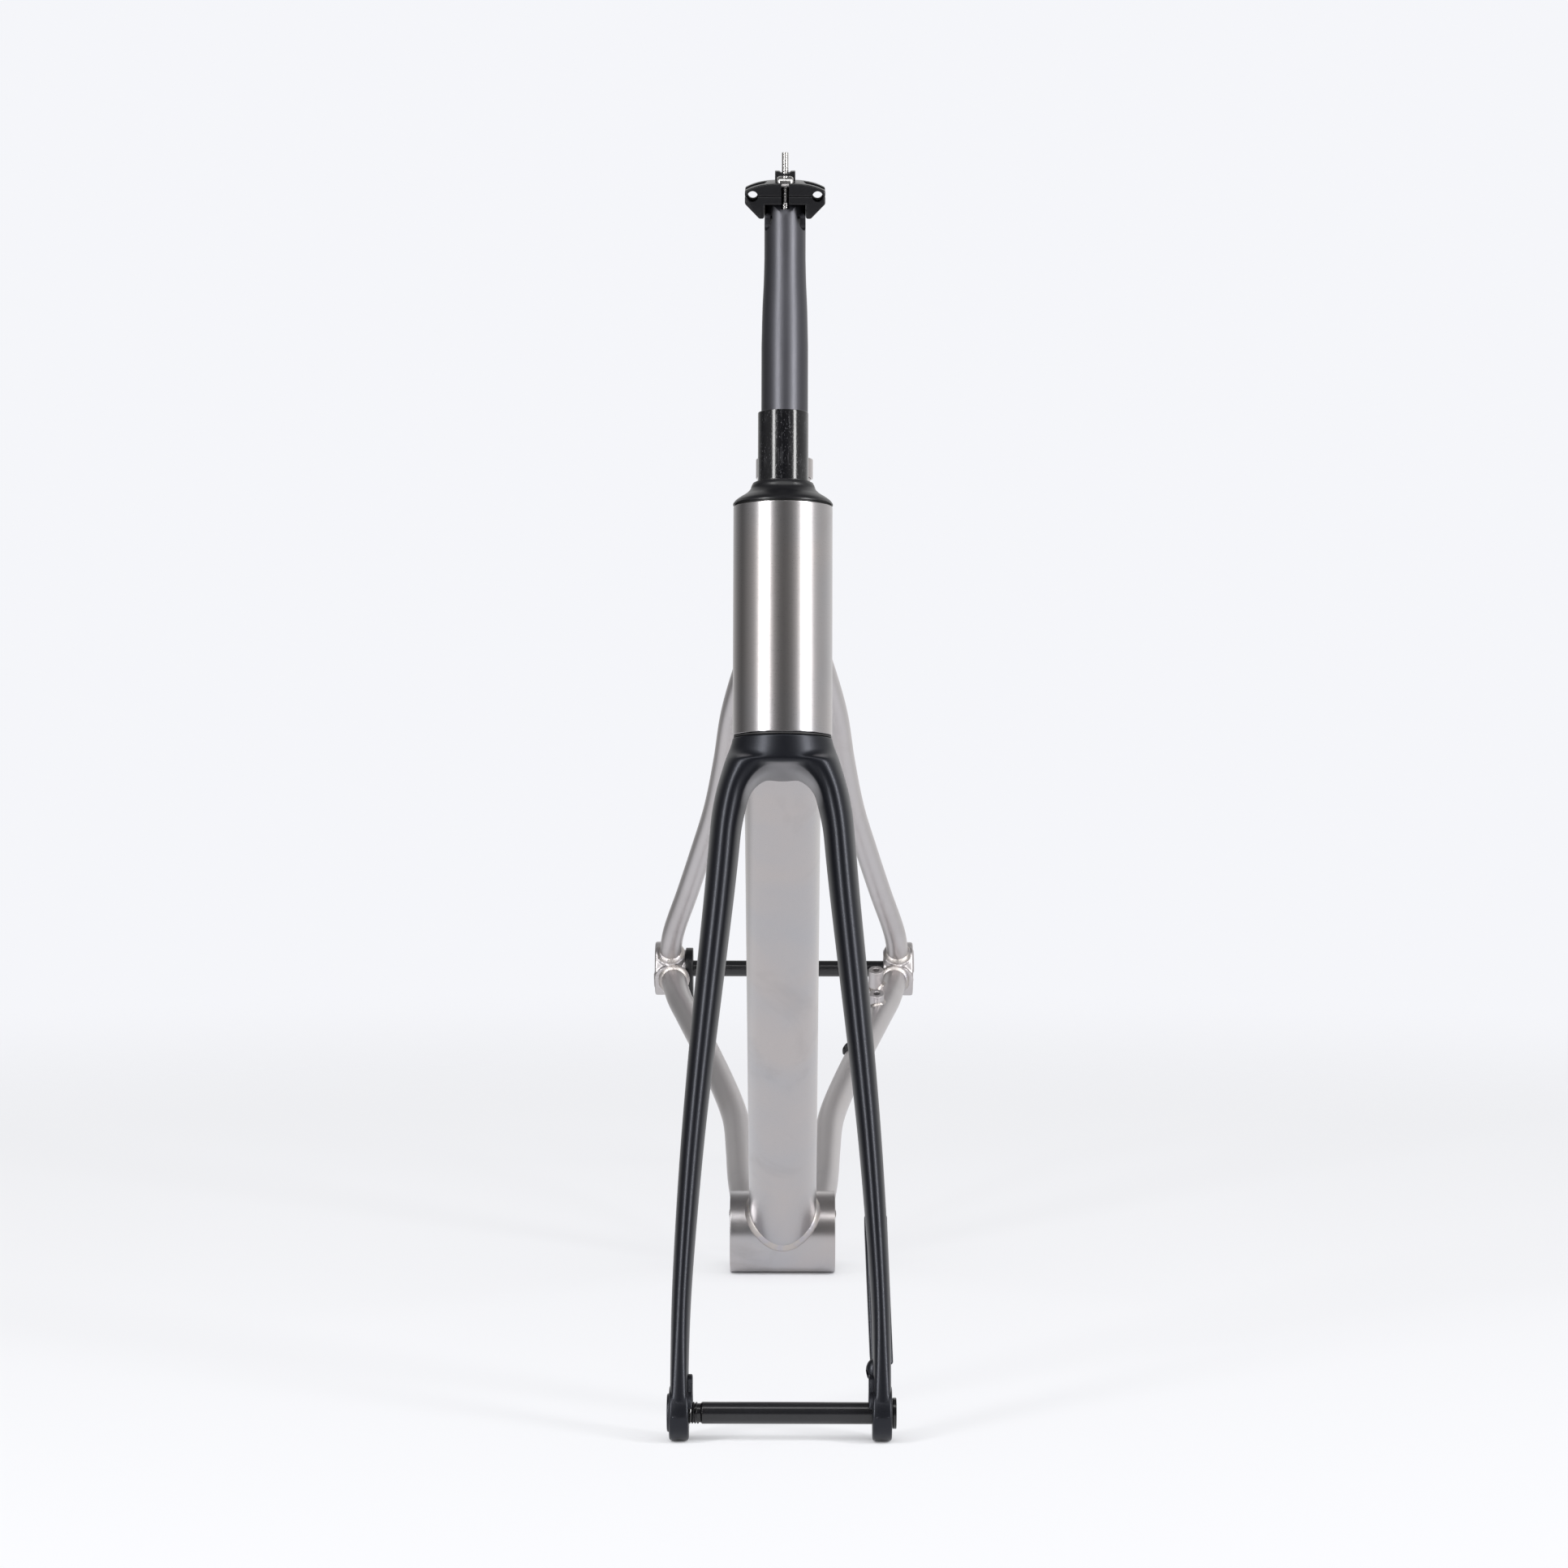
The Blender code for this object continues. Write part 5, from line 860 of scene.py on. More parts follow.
# how far a stay is from the middle plane, as a share of the dropouts' distance, along its length
seatstaySpread = [(0.000, 0.1115), (0.115, 0.1702), (0.237, 0.3192), (0.350, 0.4296), (0.467, 0.4953),
                  (0.594, 0.5845), (0.711, 0.7077), (0.821, 0.8310), (0.936, 0.9648), (1.012, 1.0047)]
chainstaySpread = [(0.000, 0.2700), (0.155, 0.3333), (0.271, 0.3568), (0.387, 0.3873), (0.490, 0.4648),
                   (0.658, 0.6338), (0.838, 0.8333), (0.908, 0.9096), (1.019, 0.9859)]
seatstayStart, chainstayStart = rear["seatstayTop"] * seatUp, Vector((0, 14 * mm, 2 * mm))
hoodLines = [(seatstayStart - rearAxle).normalized(), (-rearAxle).normalized()]


def stayPath(start, spread, side, count=121):
    end = rearAxle.lerp(start, (rear["radius"] - rear["stayOverlap"]) / (rearAxle - start).length)
    points = []
    for i in range(count):
        share = i / (count - 1)
        point = start.lerp(end, share)
        points.append(Vector((side * rear["middle"] * hermite(spread, share), point.y, point.z)))
    return points


def stayJoint(path, radius, within, facets=64):
    # where the skin of a stay comes out of what it is welded to, walking down its path
    points, sums = [], []
    for k in range(facets):
        angle, found = math.tau * k / facets, None
        for i in range(1, len(path) - 1):
            ahead = (path[i + 1] - path[i - 1]).normalized()
            side = (Vector((1, 0, 0)) - ahead.x * ahead).normalized()
            out = math.cos(angle) * side + math.sin(angle) * ahead.cross(side)
            spot = path[i] + radius * out
            normal, outside = within(spot)
            if outside >= 0:
                if found:
                    step = found[1] / (found[1] - outside)
                    spot = found[0].lerp(spot, max(0, min(1, step)))
                points.append(spot)
                sums.append(out + normal)
                break
            found = spot, outside
    return points, sums


def offTube(tube):
    foot, axis, radius = tube

    def test(spot):
        away = (spot - foot) - (spot - foot).dot(axis) * axis
        return away.normalized(), away.length - radius
    return test


def offHood(line):
    def test(spot):
        return line, (Vector((0, spot.y, spot.z)) - rearAxle).dot(line) - rear["hoodReach"]
    return test


def dropout(side, grow=0.0):
    # outer plate, axle boss and the hoods that the stays are welded to, about the rear axle
    shoulder, reach = 0.45 * (rear["radius"] + grow), 0.6 * (rear["radius"] + grow)
    circles = [(0, 0, rear["radius"] + grow)] + [(h.y * reach, h.z * reach, shoulder) for h in hoodLines]
    faces = sorted((side * (rear["outer"] + grow), side * (rear["outer"] - rear["plate"] - grow)))
    thick = rear["outer"] - rear["inner"] + 2 * grow
    shapes = [slab(beltOutline(circles, 96), *faces, "X"),
              placed(rod(rear["boss"] + grow, thick, 96), facingX(side * rear["middle"] - thick / 2))]
    middle = Vector((side * rear["middle"], 0, 0))
    for line in hoodLines:
        hood = rod(rear["hood"] + grow, rear["hoodReach"] + grow, 96)
        shapes.append(placed(hood, along(middle, middle + line)))
    return shapes


stays = {}
rearLook = titanium("rearTitanium", rearHub @ facingX(), 0.42, 0.2, 0.6)
for side, name in ((1, "left"), (-1, "right")):
    plate, *others = dropout(side)
    others = [chamfered(other, rear["hoodEdge"]) for other in others]
    solid = gathered(chamfered(plate, rear["plateEdge"]), *others)
    bores = [drill(rear["bore"], 64, facingX())]
    if side > 0:
        bores.append(placed(rod(rear["headRecess"], 30 * mm, 72), facingX(rear["recessFloor"])))
    solid = carved(melted(solid, rear["grain"], 4), *bores)
    for stay, start, spread, tube, line in (
            ("seatstay", seatstayStart, seatstaySpread, seatSkin, hoodLines[0]),
            ("chainstay", chainstayStart, chainstaySpread, shellSkin, hoodLines[1])):
        radius, path = rear[stay], stayPath(start, spread, side)
        stays[stay, side] = path, radius
        bar = grown(wire(path), sweptStay, {"Radius": radius, "Material": rearLook})
        foot, axis, reach = tube
        core = placed(rod(reach, 1200 * mm, 112, -100 * mm), along(foot, foot + axis))
        hoods = [placed(shape, Matrix.Translation(rearAxle)) for shape in dropout(side, gap)]
        bar = carved(bar, core, *hoods)
        bmesh.ops.remove_doubles(bar, verts=bar.verts, dist=1e-7)
        label = f"{stay}{name.capitalize()}"
        look = titanium(f"{label}Titanium", stance @ along(path[20], path[-10]), 0.36, 0.2, 0.7)
        piece(label, bar, look, f"{stay}_{name}", place=stance)
        weldAlong(*stayJoint(path, radius, offTube(tube)), weld["stayTop"])
        weldAlong(*stayJoint(path[::-1], radius, offHood(line)), weld["stayEnd"])
    piece(f"dropout{name.capitalize()}", solid, rearLook, f"dropout_{name}", place=rearHub)


def nearestTo(path, reach):
    return min(path, key=lambda p: abs((Vector((0, p.y, p.z)) - rearAxle).length - reach))


for stay in ("seatstay", "chainstay"):
    path, radius = stays[stay, 1]
    spot = nearestTo(path, rear[stay + "Bridge"])
    i = path.index(spot)
    ahead = (path[i + 1] - path[i - 1]).normalized()
    skins = [(Vector((side * spot.x, spot.y, spot.z)), Vector((side * ahead.x, ahead.y, ahead.z)),
              radius + gap) for side in (-1, 1)]
    middle, half = Vector((0, spot.y, spot.z)), Vector((spot.x, 0, 0))
    bridge = mitredTube(middle - half, middle + half, rear["bridge"], tubes["wall"], skins[:1], skins[1:],
                        64, weld["bridge"])
    look = titanium(f"{stay}BridgeTitanium", stance @ along(middle - half, middle + half), 0.32, 0.1, 0.3)
    piece(f"{stay}Bridge", bridge, look, f"{stay}_bridge", place=stance)
print("rear triangle bent")

# brake bosses, hose port and hanger

brake = millimetres(first=44, spacing=34, across=68.2, radius=5.5, length=15, rear=20, front=16, hole=2.5,
                    soft=0.5, step=0.5)
path, radius = stays["chainstay", 1]
forward = -rearAxle.normalized()
upward = Vector((0, forward.z, -forward.y))
centres = {}
for name, reach in (("rear", brake["first"]), ("front", brake["first"] + brake["spacing"])):
    spot = nearestTo(path, reach)
    centres[name] = Vector((brake["across"], spot.y, spot.z)) + brake[name] * upward
line = (centres["front"] - centres["rear"]).normalized()
out = Vector((0, line.z, -line.y))


def barAlong(path, radius):
    return grown(wire(path), sweptStay, {"Radius": radius, "Rings": 121, "Material": rearLook})


for name, centre in centres.items():
    foot = centre - brake["length"] * out
    place = along(foot, centre)
    boss = placed(pipe(brake["radius"], brake["hole"], brake["length"], 64, 0, brake["soft"]), place)
    boss = carved(boss, barAlong(path, radius + gap))
    piece(f"{name}BrakeBoss", boss, rearLook, f"{name}_brake_boss", place=stance)
    points, sums = [], []
    for k in range(48):
        angle = math.tau * k / 48
        around = place.to_3x3() @ Vector((math.cos(angle), math.sin(angle), 0))
        for step in range(60):  # down the boss's skin to the stay
            spot = centre + brake["radius"] * around - out * step * brake["step"]
            near = min(path, key=lambda p: (p - spot).length)
            if (spot - near).length < radius or step * brake["step"] > brake["length"]:
                points.append(spot)
                sums.append(around + (spot - near).normalized())
                break
    weldAlong(points, sums, weld["boss"])

port = {**millimetres(reach=150, stand=3, soft=0.5), "out": (-0.8, -0.1, 0.6)}
spot = nearestTo(path, port["reach"])
length = radius + port["stand"]
dome = [(0, 4 * mm), (5.6 * mm, 4 * mm), (5.6 * mm, length - 2.2 * mm), (5 * mm, length - 1.6 * mm),
        (4 * mm, length - 0.7 * mm), (2.9 * mm, length), (2.3 * mm, length - 1.8 * mm),
        (0, length - 1.8 * mm)]
grommet = placed(turned(dome, port["soft"], 64, False), along(spot, spot + Vector(port["out"]).normalized()))
piece("hosePortGrommet", carved(grommet, barAlong(path, radius + 0.1 * mm)), rubberLook, "hose_port_grommet",
      place=stance)

hanger = millimetres(thick=5.5, drop=28, setback=7, face=-73.6, upper=15.5, lower=8.5, edge=0.7, hole=5,
                     screwBack=-10.2, screwRise=4)
hangerScrew = millimetres(shank=1.5, length=9, radius=2.7, height=1.9, key=2)
hangerBore = millimetres(shaft=1.8, depth=11, head=3, rise=6)
outline = beltOutline([(0, 0, hanger["upper"]), (hanger["setback"], -hanger["drop"], hanger["lower"])], 96)
plate = chamfered(slab(outline, hanger["face"], hanger["face"] + hanger["thick"], "X"), hanger["edge"])
screwSpot = facingX(hanger["face"] + 0.6 * hanger["thick"], hanger["screwBack"], hanger["screwRise"])
holes = [drill(rear["bore"], 64, facingX()),
         drill(hanger["hole"], 56, facingX(0, hanger["setback"], -hanger["drop"])),
         placed(counterbore(**hangerBore, segments=40), screwSpot)]
piece("derailleurHanger", carved(plate, *holes), blackLook, "derailleur_hanger", place=rearHub)
screw = screwSolid(**hangerScrew, domed=False)
piece("hangerScrew", screw, steelLook, (), "derailleur_hanger", rearHub @ screwSpot)
print("rear fittings made")

# seat collar

collar = millimetres(height=13, wall=1.5, reach=11, half=9, corner=3, slot=1.3, soft=0.5, edge=1.2, bolt=2.5,
                     head=4.25, headHeight=5, key=4, boltInset=4.5)
collarBore = millimetres(shaft=2.8, depth=40, head=4.55, rise=9)
bore = tubes["seatRadius"] + gap
outer = bore + collar["wall"]
base = tubes["seatLength"] - collar["height"] - gap
top, half, back = base + collar["height"], collar["half"], outer + collar["reach"]
corner = collar["corner"]
ring = pipe(outer, bore, collar["height"], 128, base, collar["soft"])
ears = slab([(-half, bore + gap), (half, bore + gap), (half, back - corner), (half - corner, back),
             (-half + corner, back), (-half, back - corner)], base, top)
seatOfHead = half - collar["boltInset"]
boltSpot = (seatOfHead, outer + 0.55 * collar["reach"], (base + top) / 2)
boltHole = placed(counterbore(**collarBore, segments=48), facingX(*boltSpot))
split = slab(rectangle(-collar["slot"], collar["slot"], 0, 60 * mm), base - 5 * mm, top + 5 * mm)
ring = joined(ring, chamfered(ears, collar["edge"]))
ring = carved(ring, rod(bore, 30 * mm, 128, base - 8 * mm), split, boltHole)
piece("seatCollar", ring, seatLook, "seat_collar", place=seatLine)
bolt = screwSolid(collar["bolt"], seatOfHead + half - mm, collar["head"], collar["headHeight"],
                  collar["key"], False)
piece("seatCollarBolt", bolt, steelLook, "seat_collar_bolt",
      place=seatLine @ facingX(boltSpot[0] + gap, *boltSpot[1:]))
print("collar fitted")

# headset

headset = millimetres(circle=23, ball=1.6, cage=0.55, groove=2.1, height=7, cover=13.8, lip=28.2,
                      lowerBase=2.5, upperBase=123.3, race=20.1, sleeve=14.6, sleeveWall=0.8, wedge=1.6)
sleeveOuter = headset["sleeve"] + headset["sleeveWall"]
wedge = sleeveOuter + headset["wedge"]
for name, bore in (("lower", headset["race"]), ("upper", wedge + gap)):
    base = headset[name + "Base"]
    top, middle = base + headset["height"], base + headset["height"] / 2
    for kind, wall, edge, way in (("Outer", 26 * mm, 23.9 * mm, 1), ("Inner", bore, 22.1 * mm, -1)):
        groove = []
        for turn in [math.radians(62 - 124 * i / 8) for i in range(9)]:
            groove.append((headset["circle"] + way * headset["groove"] * math.cos(turn),
                           middle + headset["groove"] * math.sin(turn)))
        race = [(wall, base), (wall, top), (edge, top), *groove, (edge, base)]
        piece(f"{name}Race{kind}", turned(race, 0.3 * mm, 128), steelLook,
              f"{name}_bearing_{kind.lower()}_race", place=steering)
    balls = grown(wire(stub), ballRing, {"Radius": headset["circle"], "Ball": headset["ball"],
                                         "Material": steelLook})
    cage = lathe(arc((headset["circle"], 0), headset["cage"], 0, 330, 12), 96)
    piece(f"{name}Balls", gathered(balls, cage), steelLook, f"{name}_bearing_balls",
          place=steering @ shift(0, 0, middle))
profile = [(headset["race"], gap), (headset["race"], 2.2 * mm), (21.5 * mm, 2.2 * mm), (24.6 * mm, 1.3 * mm),
           (24.6 * mm, gap)]
piece("crownRace", turned(profile, 0.2 * mm, 128), blackLook, "crown_race", place=steering)
piece("lowerSeal", pipe(27.5 * mm, 25.2 * mm, mm, 128, gap, 0.3 * mm), rubberLook, "lower_headset_seal",
      place=steering)
base = headset["upperBase"]
top = base + headset["height"]
profile = [(headset["sleeve"], base + 1.5 * mm), (headset["sleeve"], headTop + 14.4 * mm),
           (sleeveOuter, headTop + 14.4 * mm), (sleeveOuter, headTop + 4.4 * mm),
           (wedge + 2.6 * mm, headTop + 3.4 * mm), (wedge + 2.6 * mm, top + gap), (wedge, top + gap),
           (wedge, base + 2.5 * mm), (wedge - 0.9 * mm, base + 1.5 * mm)]
split = slab(rectangle(-0.6 * mm, 0.6 * mm, 0, 30 * mm), base - 10 * mm, headTop + 30 * mm)
piece("compressionRing", carved(turned(profile, 0.25 * mm, 128), split), blackLook, "compression_ring",
      place=steering)
lip, coverBore = headset["lip"], sleeveOuter + gap
flare = [(lip, 1.7 * mm), (lip - 1.3 * mm, 3.4 * mm), (lip - 4.0 * mm, 5.4 * mm), (lip - 7.2 * mm, 7.4 * mm),
         (lip - 9.6 * mm, 9.8 * mm), (lip - 10.6 * mm, 12.4 * mm), (lip - 11.9 * mm, headset["cover"])]
flanks = [(height, radius) for radius, height in flare]
heights = [1.7 * mm + i * 10.9 * mm / 40 for i in range(1, 41)]
skin = [(lip, 1.0 * mm), flare[0], *[(hermite(flanks, height), height) for height in heights],
        (lip - 11.2 * mm, 13.5 * mm), flare[-1]]
inside = [(coverBore, headset["cover"]), (coverBore, 5 * mm), (wedge + 2.9 * mm, 4 * mm),
          (lip - 4.4 * mm, 3 * mm), (lip - 1.1 * mm, 2.2 * mm), (lip - 1.1 * mm, 1.0 * mm)]
coverPlace = steering @ shift(0, 0, headTop)
piece("headsetCover", lathe(skin + inside, 160), blackLook, "headset_top_cover", place=coverPlace)
piece("upperSeal", pipe(lip - 1.4 * mm, lip - 3.8 * mm, 1.6 * mm, 128, gap, 0.3 * mm), rubberLook,
      "upper_headset_seal", place=coverPlace)

column = millimetres(top=14.3, base=19.8, foot=-7.7, length=185, wall=2.8, taperFoot=13, taperTop=60)
taperFoot, taperTop = column["taperFoot"], column["taperTop"]
outside = [(column["base"], column["foot"]), (column["base"], taperFoot)]
for i in range(1, 20):
    share = i / 20
    ease = share * share * (3 - 2 * share)
    outside.append((column["base"] + (column["top"] - column["base"]) * ease,
                    taperFoot + (taperTop - taperFoot) * share))
topBore, baseBore = column["top"] - column["wall"], column["base"] - 2 * column["wall"]
outside += [(column["top"], taperTop), (column["top"], column["length"]), (topBore, column["length"]),
            (topBore, taperTop), (baseBore, taperFoot + mm), (baseBore, column["foot"])]
piece("steererTube", turned(outside, 0.4 * mm, 128), steererLook, "steerer_tube", place=steering)
print("headset turned")

# fork: its stations are shares of its length below the crown, each with a share of half its width or depth

fork = {**millimetres(halfWidth=60.3, crownRadius=28, crownEdge=0.5, archTop=19.6, archRadius=20,
                      archDepth=28, hub=50, tipWidth=10.7, tipEdge=1.4, lipBore=10.8, lipEdge=1.7,
                      padStart=268, padLength=78, padRear=17, padWidth=12.6, insertCover=1.6, bore=6.3,
                      insertBore=8.3, endBoss=10.5, endThick=8, endEdge=1, endStand=1.3, socket=20.1,
                      socketDepth=8, hollow=14.2, hollowDepth=12),
        "rake": bike["rake"], "length": bike["forkLength"], "tip": bike["tipRadius"], "ringPoints": 18,
        "archSlope": 0.145, "swell": 1.0205, "bow": 1.35, "archCrease": 0.8, "crownCrease": 0.75}
forkPort = millimetres(depth=351, across=-4.2, back=1, halfWidth=4.6, halfThick=5.2, halfHeight=6.6,
                       bore=2.4, reach=9)
brakeInsert = millimetres(radius=4, bore=2.5, length=9, soft=0.4, hole=4.3, stand=0.2, upper=4, lower=74)
bladeOuter = [(0.0000, 0.4643), (0.0061, 0.4710), (0.0369, 0.5390), (0.0615, 0.5837), (0.0856, 0.6269),
              (0.1096, 0.6534), (0.1711, 0.6882), (0.2326, 0.7197), (0.2941, 0.7562), (0.3663, 0.7993),
              (0.4759, 0.8590), (0.5963, 0.9187), (0.7166, 0.9635), (0.8342, 0.9950), (0.9225, 1.0000),
              (1.0053, 0.9983)]
bladeInner = [(0.0856, 0.3367), (0.1096, 0.3648), (0.1711, 0.3997), (0.2326, 0.4395), (0.2941, 0.4842),
              (0.3663, 0.5373), (0.4759, 0.6186), (0.5963, 0.7015), (0.7166, 0.7662), (0.8342, 0.8176),
              (0.9225, 0.8342), (1.0053, 0.8375)]
bladeDepth = [(0.0428, 0.9643), (0.1096, 0.8214), (0.2941, 0.6607), (0.5374, 0.5357), (0.7861, 0.4464),
              (0.9140, 0.4450), (0.9600, 0.5000), (1.0053, 0.5320)]
bladeRoundness = [(0.85, 2.25), (0.914, 2.9), (0.96, 4.2), (1.005, 6.0)]
bladeSections = [0.134, 0.165, 0.198, 0.24, 0.283, 0.34, 0.396, 0.46, 0.524, 0.59, 0.658, 0.725, 0.791, 0.853,
                 0.914, 0.96, 1.005]
# under the arch: how far a section leans, in degrees, and its depth as a share of the arch's
crownSections = [(15, 0.53), (32, 0.77), (50, 1.06), (68, 1.45), (86, 2.05)]
# down the crown: a ring's depth, and how much its front and rear dip
crownDips = [(0, 0), (0.5 * mm, 0), (2.4 * mm, 2.0 * mm), (5.5 * mm, 7.4 * mm)]


def outerAt(depth):
    return fork["halfWidth"] * hermite(bladeOuter, depth / fork["length"])


def innerAt(depth):
    return fork["halfWidth"] * hermite(bladeInner, depth / fork["length"])


def halfDepthAt(depth):
    return fork["crownRadius"] * hermite(bladeDepth, depth / fork["length"])


def centreAt(depth):
    return -fork["rake"] * (max(depth, 0) / fork["length"]) ** fork["bow"]


def bladePoint(depth):
    return Vector(((outerAt(depth) + innerAt(depth)) / 2, centreAt(depth), -depth))


def bladeRing(bm, side, outer, inner, slope):
    # a section between two points of (across, depth), shaped as a squarish ellipse
    depth = (outer[1] + inner[1]) / 2
    power = hermite(bladeRoundness, depth / fork["length"])
    middle = ((outer[0] + inner[0]) / 2, (outer[1] + inner[1]) / 2)
    reach = [fork["swell"] * (a - b) / 2 for a, b in zip(outer, inner)]
    ring = []
    for i in range(fork["ringPoints"]):
        angle = -math.pi / 2 + math.tau * i / fork["ringPoints"]
        c, s = math.cos(angle), math.sin(angle)
        across, fore = math.copysign(abs(c) ** (2 / power), c), math.copysign(abs(s) ** (2 / power), s)
        y = centreAt(depth) + fore * halfDepthAt(depth) * fork["swell"]
        fall = slope * y * (1 - across) / 2
        spot = (side * (middle[0] + across * reach[0]), y, -(middle[1] + across * reach[1]) - fall)
        ring.append(bm.verts.new(spot))
    return ring


def forkHalf(bm, side):
    # half rings round the crown open under the arch into full rings, which run down the blade
    count = fork["ringPoints"] // 2
    crease = bm.edges.layers.float.get("crease_edge") or bm.edges.layers.float.new("crease_edge")

    def creased(first, second, value):
        bm.edges.get((first, second))[crease] = value

    crownRings = []
    for depth, dip in crownDips:
        edge = fork["crownEdge"] if depth == 0 else 0
        width, reach = outerAt(depth) * fork["swell"] - edge, fork["crownRadius"] * fork["swell"] - edge
        ring = []
        for i in range(count + 1):
            angle = -math.pi / 2 + math.pi * i / count
            x = 0.0 if i in (0, count) else side * width * math.cos(angle)
            ring.append(bm.verts.new((x, reach * math.sin(angle), -depth - dip * math.sin(angle) ** 2)))
        crownRings.append(ring)
    centre = bm.verts.new((0, 0, 0))
    for first, second in zip(crownRings[0], crownRings[0][1:]):
        bm.faces.new((centre, first, second))
    arch = []
    for i in range(1, count):
        y = fork["archDepth"] * math.sin(math.pi / 2 + math.pi * i / count)
        arch.append(bm.verts.new((0, y, -fork["archTop"] - fork["archSlope"] * y)))
    sections = []
    for lean, share in crownSections:
        turn, depth, radius = math.radians(lean), share * fork["archTop"], fork["archRadius"]
        inner = (radius * math.sin(turn), fork["archTop"] + radius * (1 - math.cos(turn)))
        sections.append(((outerAt(depth), depth), inner))
    for share in bladeSections:
        depth = share * fork["length"]
        sections.append(((outerAt(depth), depth), (innerAt(depth), depth)))
    slopes = [fork["archSlope"] * max(0, 1 - k / len(crownSections)) for k in range(len(sections))]
    rings = [bladeRing(bm, side, *section, slope) for section, slope in zip(sections, slopes)]
    for upper, lower in zip(crownRings, [*crownRings[1:], rings[0][:count + 1]]):
        bridged(bm, upper, lower)
    bridged(bm, [crownRings[-1][count], *arch, crownRings[-1][0]], [*rings[0][count:], rings[0][0]])
    for upper, lower in zip(rings, rings[1:]):
        bridged(bm, [*upper, upper[0]], [*lower, lower[0]])
    bm.faces.new(rings[-1])
    for mouth, index in ((arch[-2], 2 * count - 2), (arch[1], count + 2)):
        creased(mouth, rings[0][index], fork["archCrease"])
        for k in range(len(crownSections)):
            creased(rings[k][index], rings[k + 1][index], fork["archCrease"] * (1 - (k + 1) / 7))
    for ring in crownRings[:2]:
        for first, second in zip(ring, ring[1:]):
            creased(first, second, fork["crownCrease"])
    foot = rings[-1]
    for first, second in zip(foot, [*foot[1:], foot[0]]):
        creased(first, second, 1.0)


def subdivided(bm, levels):
    bmesh.ops.recalc_face_normals(bm, faces=bm.faces)
    working = loose(bm)
    smoothing = working.modifiers.new("smoothing", "SUBSURF")
    smoothing.levels = smoothing.render_levels = levels
    return baked(working)


blades = bmesh.new()
forkHalf(blades, 1)
forkHalf(blades, -1)
bmesh.ops.remove_doubles(blades, verts=blades.verts, dist=1e-6)
blades = subdivided(blades, 2)
axle = shift(0, -fork["rake"], -fork["length"])
tipOuter = fork["hub"] + fork["tipWidth"]
additions = []
for side in (1, -1):
    # the round tip, and the lip inside it that guides the hub
    faces = sorted((side * fork["hub"], side * tipOuter))
    disc = chamfered(slab(arc((0, 0), fork["tip"], 0, 360, 97)[:-1], *faces, "X"), fork["tipEdge"])
    rim = 0.95 * fork["tip"]
    outline = (arc((0, 0), rim, 12, 55, 12) + arc((0, 14 * mm), 7 * mm, 35, 145, 24)
               + arc((0, 0), rim, 125, 168, 12) + arc((0, 0), fork["lipBore"], 168, 12, 36))
    faces = sorted((side * (fork["hub"] - 2 * mm), side * (fork["hub"] + 3 * mm)))
    lipShape = chamfered(slab(outline, *faces, "X"), fork["lipEdge"], 4, 50)
    additions += [placed(disc, axle), placed(lipShape, axle)]
boss = chamfered(rod(fork["endBoss"], fork["endThick"], 96), fork["endEdge"])
additions.append(placed(boss, axle @ facingX(-(tipOuter + fork["endStand"]))))
padTop, padFoot = bladePoint(fork["padStart"]), bladePoint(fork["padStart"] + fork["padLength"])
padPlace, rearFace, padLength = along(padTop, padFoot), -fork["padRear"], fork["padLength"]
outline = [(-3 * mm, -3 * mm), (-10 * mm, 0), (rearFace, 4 * mm), (rearFace, padLength - 4 * mm),
           (-10 * mm, padLength), (-3 * mm, padLength + 3 * mm)]
pad = chamfered(slab(outline, -fork["padWidth"] / 2, fork["padWidth"] / 2, "X"), fork["tipEdge"])
additions.append(placed(pad, padPlace))
portSpot = bladePoint(forkPort["depth"]) + Vector((forkPort["across"], forkPort["back"], 0))
portSize = (forkPort["halfWidth"], forkPort["halfThick"], forkPort["halfHeight"], 1)
bump = bmesh.new()
bmesh.ops.create_uvsphere(bump, u_segments=40, v_segments=20, radius=1.0)
bump.transform(Matrix.Translation(portSpot) @ Matrix.Diagonal(portSize))
additions.append(bump)
insertFloor = -(tipOuter - fork["insertCover"])
bore, wide = fork["bore"], fork["insertBore"]
profile = [(0, -100 * mm), (bore, -100 * mm), (bore, insertFloor), (wide, insertFloor), (wide, -25 * mm),
           (bore, -25 * mm), (bore, 100 * mm), (0, 100 * mm)]
portEnd = portSpot + Vector((-1, -0.3, -0.5))
holes = [placed(lathe(profile, 72, False), axle @ facingX()),
         rod(fork["socket"], 16 * mm, 96, -fork["socketDepth"]),
         rod(fork["hollow"], 40 * mm, 64, -fork["hollowDepth"]),
         placed(rod(forkPort["bore"], forkPort["reach"], 32), along(portSpot, portEnd))]
inserts, stand = [], brakeInsert["stand"]
for name in ("upper", "lower"):
    place = padPlace @ shift(0, rearFace, brakeInsert[name]) @ tilt(-90)
    holes.append(placed(rod(brakeInsert["hole"], 20 * mm, 48, -stand), place @ shift(0, 0, -10 * mm)))
    inserts.append((name, steering @ place @ shift(0, 0, stand)))
blades = carved(joined(blades, *additions), *holes)
piece("forkCrownAndBlades", blades, forkLook, "fork_crown_and_blades", place=steering, sharp=38)
for name, place in inserts:
    insert = pipe(brakeInsert["radius"], brakeInsert["bore"], brakeInsert["length"], 48, 0,
                  brakeInsert["soft"])
    piece(f"{name}BrakeInsert", insert, steelLook, f"{name}_brake_insert", place=place)
insert = pipe(8 * mm, bore, fork["tipWidth"] - fork["insertCover"] - gap, 64, 0, 0.3 * mm)
piece("axleThreadInsert", insert, blackLook, "front_axle_thread_insert",
      place=frontHub @ facingX(insertFloor + gap))
print("fork moulded")

# thru-axles and their threads

